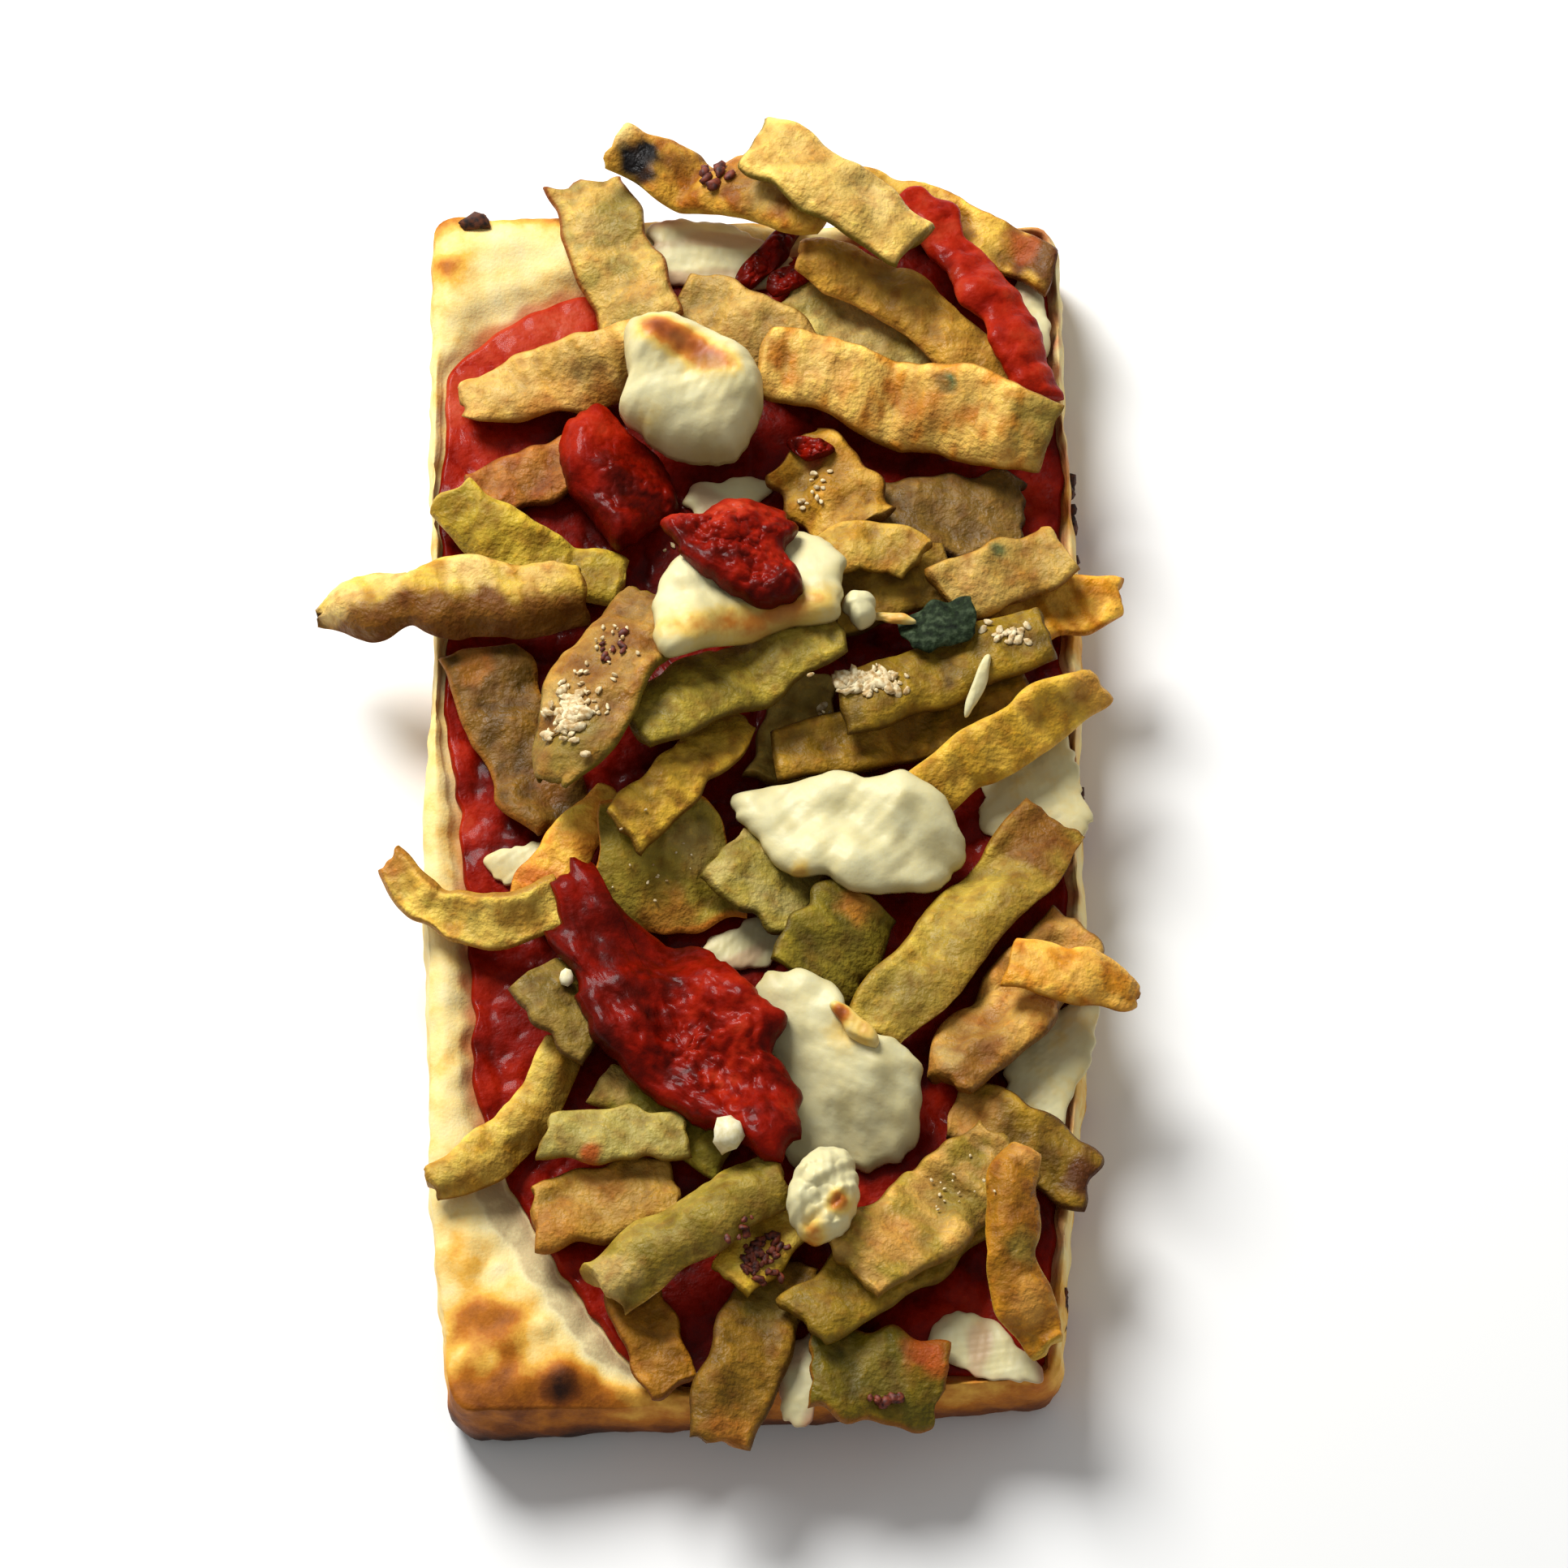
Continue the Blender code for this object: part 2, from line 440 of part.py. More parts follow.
def crust_mesh(outline, edge):
    """The baked slab: from its flat underside out over a rounded side, up to the rim's crest, and down to the
    flat floor under the sauce. The rim is as wide as the sauce leaves it, and higher where it is wide."""
    width = np.linalg.norm(outline - edge, axis=1)
    inward = (edge - outline) / width[:, None]
    relief = RIM_RELIEF * ripple(*outline.T, 21, 5)

    def ring(inset, height):
        plan = outline + inward * np.minimum(inset, width)[:, None]
        return np.column_stack([plan, np.broadcast_to(height, width.shape)])

    crest = RIM_HEIGHT + CORNER_RISE * np.clip((width - 4) / 10, 0, 1) + relief
    rings = [
        ring(3.2, 0.0),
        ring(0.9, 1.6),
        ring(0.0, 6.5),
        ring(0.25, 10.8),
        ring(0.7, crest - 1.3),
        ring(0.34 * width + 0.5, crest),
        ring(0.75 * width + 0.1, crest - 0.6),
        ring(width, FLOOR_HEIGHT),
    ]
    return lofted(rings)


def sauce_mesh(edge):
    """The sauce on the floor: flat below, with a rounded edge and a lumpy top of rings that shrink to the
    middle."""
    inset = edge * (1 - 0.6 / np.linalg.norm(edge, axis=1))[:, None]
    base = FLOOR_HEIGHT + GAP + 0.05
    rings = [np.column_stack([inset * 0.99, np.full(len(edge), base)])]
    for share, rise in SAUCE_RINGS:
        plan = inset * share
        lumps = SAUCE_RELIEF * ripple(*plan.T, 17, 11) * (rise == 1.0)
        rings.append(np.column_stack([plan, base + SAUCE_THICKNESS * rise + lumps]))
    return lofted(rings)


def material(name):
    """The named finish as a principled material."""
    made = bpy.data.materials.get(name)
    if made is None:
        made = bpy.data.materials.new(name)
        made.use_nodes = True
        colour, roughness = COLOURS[name]
        srgb = np.array([int(colour[k:k + 2], 16) / 255 for k in (0, 2, 4)])
        linear = np.where(srgb > 0.04045, ((srgb + 0.055) / 1.055) ** 2.4, srgb / 12.92)
        shader = made.node_tree.nodes["Principled BSDF"]
        shader.inputs["Base Color"].default_value = (*linear, 1.0)
        shader.inputs["Roughness"].default_value = roughness
        shader.inputs["Metallic"].default_value = 0.0
        made.diffuse_color = (*linear, 1.0)
    return made


def place(name, points, faces, finish):
    """A named object of that mesh, in metres, with its faces turned outwards and shaded smooth."""
    mesh = bpy.data.meshes.new(name)
    mesh.from_pydata((points * MM).tolist(), [], faces)
    solid = bmesh.new()
    solid.from_mesh(mesh)
    bmesh.ops.recalc_face_normals(solid, faces=solid.faces)
    solid.to_mesh(mesh)
    solid.free()
    mesh.shade_smooth()
    mesh.set_sharp_from_angle(angle=np.radians(50))
    mesh.materials.append(material(finish))
    made = bpy.data.objects.new(name, mesh)
    bpy.context.scene.collection.objects.link(made)
    return made


def build():
    for old in list(bpy.data.objects):
        bpy.data.objects.remove(old)
    heap = Heap()
    outline = slab_outline(OUTLINE_POINTS)
    edge = sauce_outline(outline)
    for name, (points, sides, caps), finish in (
        ("crust", crust_mesh(outline, edge), "baked_dough"),
        ("tomato_sauce", sauce_mesh(edge), "tomato_sauce"),
    ):
        place(name, points, sides + caps, finish)
        heap.add(points, sides + caps[:1], steps=60)
    for piece in LAYERS:
        points, faces = strip_mesh(piece, heap) if isinstance(piece, Strip) else blob_mesh(piece, heap)
        place(piece.name, points, faces, piece.finish)
        heap.add(points, faces)


build()
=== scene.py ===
"""The looks of a rectangular slice of pan-baked pizza, topped with sauce, melted cheese and fried aubergine.

Lengths in the tables are millimetres in the part's own frame: +Z up, +Y along the slice. Every topping is laid
in the order of LAYERS by the rule that the solids follow: a heap records the height of everything laid so
far, and each new piece sags onto it. So each piece lies where its node does, with a fine surface of its own.
"""

from collections import namedtuple

import bpy
import numpy as np
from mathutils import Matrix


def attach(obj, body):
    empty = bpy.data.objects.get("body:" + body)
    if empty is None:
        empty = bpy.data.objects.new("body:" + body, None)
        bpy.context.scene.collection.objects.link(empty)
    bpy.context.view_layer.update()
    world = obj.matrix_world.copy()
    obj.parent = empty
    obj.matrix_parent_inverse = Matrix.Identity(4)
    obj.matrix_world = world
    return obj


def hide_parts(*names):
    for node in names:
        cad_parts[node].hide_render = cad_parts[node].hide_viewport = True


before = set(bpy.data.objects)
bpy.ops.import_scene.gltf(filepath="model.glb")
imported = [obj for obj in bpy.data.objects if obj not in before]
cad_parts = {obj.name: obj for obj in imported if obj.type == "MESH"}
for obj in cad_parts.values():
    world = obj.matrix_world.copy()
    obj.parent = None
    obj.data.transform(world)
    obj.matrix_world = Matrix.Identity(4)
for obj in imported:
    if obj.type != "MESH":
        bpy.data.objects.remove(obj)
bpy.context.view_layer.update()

MM = 0.001
GAP = 0.3  # clearance that touching pieces keep

# The crust, a slab with a baked rim round a flat floor
SIDES = (  # from the near end to the far end: the place along the slice, and its left and right side there
    (-101.0, -45.4, 46.4),
    (-66.0, -49.2, 48.6),
    (-38.0, -50.2, 51.6),
    (4.0, -51.0, 51.6),
    (54.0, -51.8, 51.5),
    (84.0, -52.4, 50.0),
    (103.0, -53.0, 48.8),
)
NEAR_END = (-102.6, -98.0)  # at the left and at the right corner
FAR_END = (103.4, 102.0)
CORNER_RADIUS = 4.5
OUTLINE_POINTS = 640
OUTLINE_WANDER = 0.6
FLOOR_HEIGHT = 12.0
RIM_HEIGHT = 14.8
CORNER_RISE = 1.6  # how much higher the rim stands where it is wide
RIM_RELIEF = 0.6
BLISTERS = (  # bubbles that rose in the bare corner, by place, radius and height
    (-40.0, -86.0, 3.4, 0.9), (-43.0, -79.5, 2.6, 0.5), (-36.5, -91.0, 3.0, 0.8), (-31.5, -89.0, 2.4, 0.7),
    (-41.5, -94.5, 3.6, 0.7), (-28.5, -96.5, 3.2, 0.8), (-35.0, -98.0, 2.8, 0.5), (-45.0, -88.0, 2.4, 0.5),
    (-20.0, -98.5, 2.2, 0.4), (-48.5, 92.5, 3.8, 0.4), (-41.0, 99.0, 5.0, 0.3), (-38.0, -79.0, 2.0, 0.5),
)
BAKED_SPOTS = (  # browner places on the crust, by place, radius and how much darker
    (-49.4, 92.6, 3.0, 0.34), (-52.0, 101.5, 3.5, 0.26), (-30.0, 103.5, 5.0, 0.14), (-38.6, -88.6, 3.6, 0.30),
    (-42.4, -85.6, 2.4, 0.26), (-36.4, -93.0, 2.6, 0.20), (-29.0, -97.6, 2.8, 0.40), (-45.0, -97.0, 7.0, 0.10),
    (-43.6, -77.0, 3.0, 0.10), (-49.6, -47.0, 3.4, 0.12), (-50.8, -18.0, 3.0, 0.12), (-51.8, 44.0, 2.4, 0.16),
    (43.0, -97.0, 9.0, 0.12), (-24.0, -96.5, 3.6, 0.14), (53.0, 50.0, 5.0, 0.30), (53.0, 26.0, 3.6, 0.30),
    (53.0, -1.5, 4.0, 0.28), (53.0, -48.0, 2.6, 0.2), (51.6, -63.0, 4.0, 0.3), (50.0, -84.0, 5.0, 0.25),
)

# The sauce that covers the floor and stops short of the rim, and of two bare corners
LEFT_RIM = ((-60, 9.0), (-44, 7.2), (-29, 6.3), (-3, 4.4), (14, 2.0), (54, 1.8), (70, 1.2))
RIGHT_RIM = 2.4
NEAR_RIM = 3.0
FAR_RIM = 2.6
SAUCE_WANDER = 0.6
SAUCE_THICKNESS = 1.9
SAUCE_CLIMB = 1.0  # how far the floor rises under the sauce's edge
SAUCE_RELIEF = 0.35
SAUCE_BRIGHT = (  # places where the sauce is thin and lit, by place, radius and how much brighter
    (-40.0, 80.0, 9.0, 0.45), (-49.0, 70.0, 6.0, 0.45), (-30.0, 84.0, 6.0, 0.45), (-46.0, 60.0, 7.0, 0.30),
    (-47.0, 6.0, 4.5, 0.32), (-46.0, -6.0, 4.5, 0.34), (-41.0, -16.0, 5.0, 0.26), (-41.0, -34.0, 7.0, 0.20),
    (-38.0, -50.0, 6.0, 0.26), (-33.0, -66.0, 5.0, 0.22), (-28.0, -80.0, 6.0, 0.26), (-20.0, -92.0, 5.0, 0.24),
    (44.0, -86.0, 6.0, 0.34), (32.0, -86.0, 6.0, 0.36), (43.0, 50.0, 6.0, 0.36), (21.0, -25.0, 5.0, 0.26),
    (32.0, -12.0, 5.0, 0.22), (3.0, 92.0, 5.0, 0.42), (28.0, -54.0, 6.0, 0.24), (40.0, 78.0, 7.0, 0.34),
    (-9.0, -62.0, 4.0, 0.20), (42.0, 34.0, 5.0, 0.20), (12.0, -68.0, 6.0, 0.22), (-42.0, 48.0, 6.0, 0.24),
)
BARE_CORNERS = (  # a point on the sauce's slanting edge, and the direction from there to the bare dough
    ((-49.8, 75.8), (-0.886, 0.464)),
    ((-42.2, 84.5), (-0.555, 0.832)),
    ((-30.2, 89.2), (-0.225, 0.974)),
    ((-26.0, -83.4), (-0.822, -0.569)),
)

# How far a piece follows the heap under it, as the radius of the tightest bend along it and across it
BEND_ALONG = 34.0
BEND_ACROSS = 10.0
SOFT_BEND = 14.0
STRIP_THICKNESS = 3.0

Strip = namedtuple("Strip", "name x y heading length width bend roll lift ends thickness cup waist finish")
Blob = namedtuple("Blob", "name outline height middle bend_radius finish")


def strip(name, x, y, heading, length, width, bend=0.0, roll=(0, 0), lift=(0, 0), ends=(0.85, 0.85),
          thickness=STRIP_THICKNESS, cup=0.6, waist=(0, 0), finish="fried"):
    """A strip by the middle of its chord, its compass in degrees from +X, and its chord and width. Bend is
    the bow to the left of the heading, roll the tilt at both ends with the left edge up, lift how far each
    end curls up, and ends the share of the width that is left at each end. Cup is how far its edges hang below
    its middle, and waist where it is narrower and by what share."""
    return Strip(name, x, y, heading, length, width, bend, roll, lift, ends, thickness, cup, waist, finish)


def blob(name, outline, height, middle=None, bend_radius=SOFT_BEND, finish="cheese"):
    """A domed lump by the corners of its outline, anticlockwise, and its height. Its rings shrink to its
    middle, which is the mean of its corners where none is given."""
    outline = np.array(outline)
    return Blob(name, outline, height, outline.mean(axis=0) if middle is None else middle, bend_radius, finish)


def oval(x, y, heading, length, width):
    """An outline of 12 corners for a melted patch of no special shape: an ellipse with uneven lobes."""
    angle = np.arange(12) * np.pi / 6
    reach = 1 + 0.13 * np.sin(2 * angle + x) + 0.11 * np.sin(3 * angle + y) + 0.06 * np.sin(5 * angle + x)
    turn = np.radians(heading)
    along, across = length / 2 * reach * np.cos(angle), width / 2 * reach * np.sin(angle)
    return np.column_stack([x + along * np.cos(turn) - across * np.sin(turn),
                            y + along * np.sin(turn) + across * np.cos(turn)])


LAYERS = (
    blob("thin_melt_right", oval(43.5, 1.5, 80, 27, 16), 1.3),
    blob("thin_melt_front_right", oval(45.0, -47.5, 62, 24, 13), 1.3),
    blob("thin_melt_01", oval(-4.3, 50.8, 20, 12, 10), 1.2),
    blob("thin_melt_02", oval(43.9, 82.9, 80, 16, 8), 1.0),
    blob("thin_melt_03", oval(-6.2, 95.0, -20, 24, 13), 1.0),
    blob("thin_melt_04", oval(-35.2, -12.4, 20, 11, 8), 1.2),
    blob("thin_melt_05", oval(34.5, -92.0, -20, 17, 9), 0.8),
    blob("thin_melt_06", oval(7.6, -96.5, 75, 14, 8), 0.8),
    blob("thin_melt_07", oval(27.0, 36.5, 0, 12, 7), 1.2),
    blob("thin_melt_08", oval(-0.5, -26.0, 10, 14, 8), 0.9),
    strip("strip_01", 31.4, 99.6, -28, 38, 9.5, bend=0.5, ends=(0.7, 0.9)),
    strip("strip_02", 17.0, 79.5, -28, 28, 12.0),
    strip("strip_03", 31.2, 47.0, 4, 23, 15.5, ends=(0.9, 0.75)),
    strip("strip_04", 12.0, 50.6, -53, 19, 14.0, lift=(1, 0), cup=0.9),
    strip("strip_05", -35.1, 54.0, 20, 21, 10.0),
    strip("strip_06", -34.2, 42.2, -27, 31, 9.5, bend=-3, roll=(16, 8), ends=(0.7, 0.9), thickness=3.8, cup=0.9),
    strip("strip_07", -36.6, 8.4, -66, 33, 14.0, roll=(8, -6), ends=(0.9, 0.7)),
    strip("strip_08", 45.3, 29.4, 12, 25, 10.0, ends=(0.8, 0.55), thickness=4.2),
    strip("strip_47", 6.4, 10.0, 72, 20, 10.0),
    strip("strip_48", 20.5, 32.5, 14, 22, 11.0),
    strip("strip_09", 23.4, 8.4, 16, 42, 10.0, roll=(10, 16), thickness=3.6),
    strip("strip_10", 29.7, 16.2, 23, 35, 10.5, roll=(5, 14), thickness=4.0, cup=0.9),
    strip("strip_11", -28.4, -12.3, 54, 23, 8.0, roll=(-14, -18), ends=(0.7, 0.6), thickness=2.4),
    strip("strip_12", -13.6, -14.8, 5, 21, 20.5, ends=(0.95, 0.85), thickness=2.2, cup=0.4),
    strip("strip_13", 2.2, -17.4, -30, 15, 13.5),
    strip("strip_14", 12.4, -27.7, 58, 17, 13.0),
    strip("strip_15", -10.5, -2.0, 48, 28, 8.5, roll=(-6, -18), ends=(0.9, 0.45), waist=(0.1, 0.25)),
    strip("strip_16", -2.8, 13.4, 29, 37, 12.5, roll=(10, 12), thickness=3.6),
    strip("strip_17", -42.0, -17.8, -15, 29, 8.5, bend=-6.5, roll=(24, 28), lift=(2.5, 0), ends=(0.6, 0.8), cup=-0.9,
          waist=(-0.35, 0.2)),
    strip("strip_18", -38.3, -56.2, 50, 30, 8.0, bend=-3.5, roll=(18, 28), ends=(0.6, 0.8), thickness=3.8),
    strip("strip_19", -28.4, -40.0, -50, 15, 10.5),
    strip("strip_20", -22.2, -69.6, 14, 22, 12.0, roll=(6, 10), thickness=4.2),
    strip("strip_21", -13.4, -56.0, -33, 23, 8.0, roll=(20, 24), thickness=2.8),
    strip("strip_22", -20.6, -60.2, 1, 21, 9.0, roll=(8, 12), ends=(0.75, 0.85), waist=(0.45, 0.2)),
    strip("strip_23", -15.3, -90.3, -68, 19, 8.5),
    strip("strip_24", 18.6, -97.2, -6, 20, 14.0),
    strip("strip_25", 0.0, -93.0, -109, 31, 12.0, ends=(0.9, 0.75)),
    strip("strip_26", 4.2, -75.0, 50, 23, 8.5, roll=(14, 18), thickness=2.6),
    strip("strip_27", -8.6, -76.8, 33, 32, 10.0, roll=(12, 10), ends=(0.95, 0.85), thickness=4.4, cup=1.0),
    strip("strip_28", 20.0, -80.4, 38, 32, 12.0, roll=(16, 16), ends=(0.85, 0.9), thickness=2.4),
    strip("strip_29", 41.0, -60.0, -31, 24, 11.0),
    strip("strip_31", 26.9, -72.8, 40, 32, 14.5, thickness=3.2, cup=0.6),
    strip("strip_30", 42.2, -79.0, -84, 30, 8.0, bend=-3.5, roll=(12, 26), ends=(0.45, 0.6), cup=1.0,
          waist=(0.05, 0.3)),
    strip("strip_32", 39.9, -38.0, 53, 34, 12.5, ends=(0.6, 0.9), thickness=3.6),
    strip("strip_33", 48.8, -35.8, -13, 20, 8.0, roll=(10, 14), ends=(0.9, 0.3), thickness=3.8, cup=0.9),
    strip("strip_34", 32.6, -25.4, 52, 47, 12.5, roll=(8, 4), ends=(0.8, 0.9), thickness=3.4),
    strip("strip_35", 39.0, 5.6, 34, 35, 9.0, roll=(26, 28), ends=(0.8, 0.5), thickness=4.6, cup=1.0),
    strip("strip_36", 39.2, 33.2, 23, 21, 10.0, roll=(10, 12), thickness=4.2),
    strip("strip_37", 17.6, 35.0, -3, 16, 7.5, bend=2.5, roll=(8, 8), ends=(0.9, 0.7), thickness=3.2, cup=1.2),
    blob("tomato_bit_01", oval(2.6, 95.0, 56, 16, 5.0), 1.0, finish="sauce"),
    blob("tomato_bit_02", oval(5.6, 89.6, 14, 9, 4.4), 0.8, finish="sauce"),
    strip("strip_38", -0.7, 79.0, -33, 26, 11.5),
    strip("strip_39", 23.6, 78.2, -38, 42, 9.5, bend=4.5, roll=(16, 12), ends=(0.4, 0.9), thickness=3.6, cup=0.9),
    strip("sauce_smear", 34.5, 84.0, -62, 44, 7.5, bend=2.5, ends=(0.6, 0.95), cup=1.0, finish="sauce"),
    strip("strip_40", 24.2, 64.6, -18, 48, 12.0, roll=(5, 5), ends=(0.85, 0.8), thickness=3.6),
    strip("strip_41", -22.3, 92.7, -70, 31, 13.5, ends=(0.9, 0.95), thickness=2.8, cup=0.5),
    strip("strip_42", -5.4, 103.2, -23, 38, 10.5, roll=(18, 20), lift=(2, 0), ends=(0.7, 0.8), thickness=3.4),
    strip("strip_43", 12.8, 98.0, -36, 31, 11.5, roll=(8, 6), ends=(0.85, 0.75), thickness=4.2, cup=1.0),
    strip("strip_44", -31.5, 70.4, 12, 31, 11.0, roll=(8, 10), ends=(0.4, 0.9), thickness=4.0, cup=1.0),
    strip("strip_45", -47.3, 29.8, 0, 42, 13.5, roll=(24, 18), ends=(0.2, 0.6), thickness=4.2, cup=2.4,
          waist=(-0.3, 0.42)),
    strip("strip_46", -23.0, 10.6, 66, 36, 15.0, roll=(2, 8), ends=(0.4, 0.65), thickness=3.2),
    strip("herb_leaf", 28.8, 22.6, 15, 11, 8.0, roll=(-10, 15), thickness=0.9, cup=0.5, finish="herb"),
    blob("cheese_middle", ((-2.5, -7.5), (0.5, -11.5), (3.0, -16.0), (7.0, -18.5), (11.0, -18.5), (14.5, -21.0),
                           (19.5, -21.0), (26.0, -20.0), (30.0, -17.5), (32.5, -14.0), (31.5, -8.5), (28.5, -4.5),
                           (24.0, -1.5), (18.5, -2.0), (13.5, -0.5), (7.0, -2.0), (2.0, -3.0), (-3.0, -4.0)), 3.6),
    blob("cheese_front", ((1.5, -44.0), (3.5, -50.5), (4.0, -58.5), (6.5, -63.0), (10.0, -62.0), (14.0, -62.5),
                          (17.5, -63.5), (21.5, -62.5), (25.0, -60.0), (25.5, -54.0), (25.5, -49.5), (22.5, -46.0),
                          (18.5, -44.5), (14.5, -40.5), (13.5, -38.0), (9.5, -35.0), (4.5, -35.0), (0.5, -36.5)), 3.6),
    blob("cheese_crumbly", ((7.0, -78.5), (10.0, -79.5), (13.5, -78.5), (15.5, -75.0), (16.0, -70.0), (15.0, -65.0),
                            (11.5, -64.0), (8.0, -66.0), (5.5, -70.5), (5.5, -75.5)), 5.4),
    blob("cheese_tail", oval(21.4, 23.8, -12, 8.0, 1.8), 1.3, bend_radius=12),
    blob("cheese_ball", oval(16.6, 24.6, 0, 5.6, 5.2), 4.0, bend_radius=60),
    blob("cheese_curl", oval(15.6, -44.6, -40, 9.5, 3.2), 1.8, bend_radius=6),
    blob("cheese_sliver", oval(34.9, 12.8, 72, 10.5, 2.0), 0.9, bend_radius=6),
    blob("cheese_slab", ((-15.0, 24.0), (-14.5, 13.5), (-7.5, 15.0), (3.0, 19.5), (12.5, 21.5), (14.0, 28.0),
                         (13.5, 34.0), (9.0, 38.0), (3.0, 39.0), (-3.5, 37.0), (-10.0, 34.0), (-14.0, 29.0)), 4.4),
    blob("sauce_dollop_left", ((-30.5, 56.0), (-29.5, 51.5), (-27.0, 46.5), (-24.0, 43.0), (-21.5, 39.5),
                               (-18.5, 41.5), (-15.0, 45.5), (-12.0, 48.5), (-12.5, 52.5), (-14.0, 56.0),
                               (-16.5, 58.5), (-19.5, 60.5), (-22.0, 63.0), (-25.0, 65.0), (-28.5, 63.5),
                               (-30.5, 60.5)), 5.0, finish="sauce"),
    blob("sauce_dollop_middle", ((-12.0, 32.0), (-10.0, 28.5), (-4.0, 24.0), (0.0, 22.0), (3.0, 21.5), (7.5, 23.5),
                                 (7.0, 27.5), (5.0, 32.5), (7.0, 36.5), (3.5, 41.0), (-1.0, 42.5), (-5.5, 41.0),
                                 (-8.5, 37.5), (-14.0, 37.0)), 4.0, finish="sauce"),
    blob("sauce_dollop_front", ((-29.5, -19.5), (-30.5, -25.0), (-30.0, -31.0), (-27.0, -35.5), (-26.0, -40.5),
                                (-24.0, -46.0), (-21.0, -49.5), (-16.5, -53.5), (-10.5, -57.5), (-5.5, -61.5),
                                (-1.0, -64.0), (2.0, -66.0), (5.5, -64.5), (7.5, -59.5), (7.0, -54.5), (5.0, -51.0),
                                (3.5, -48.5), (4.5, -44.5), (4.0, -41.5), (1.0, -39.0), (-1.5, -35.5),
                                (-4.5, -32.0), (-8.0, -29.0), (-14.0, -27.0), (-20.0, -24.5), (-23.0, -20.0),
                                (-24.5, -17.0), (-28.0, -16.5)), 4.4, middle=(-10.0, -48.0), finish="sauce"),
    blob("tomato_bit_03", oval(9.0, 57.0, -8, 7, 4.0), 0.9, finish="sauce"),
    blob("cheese_browned", ((-20.5, 71.5), (-20.0, 67.0), (-21.0, 61.5), (-17.5, 58.0), (-11.0, 54.5), (-5.5, 54.0),
                            (-1.5, 55.5), (1.0, 61.0), (1.5, 65.5), (0.0, 69.0), (-4.0, 73.0), (-11.0, 76.5),
                            (-15.5, 77.5), (-20.0, 75.0)), 8.4, bend_radius=24),
)

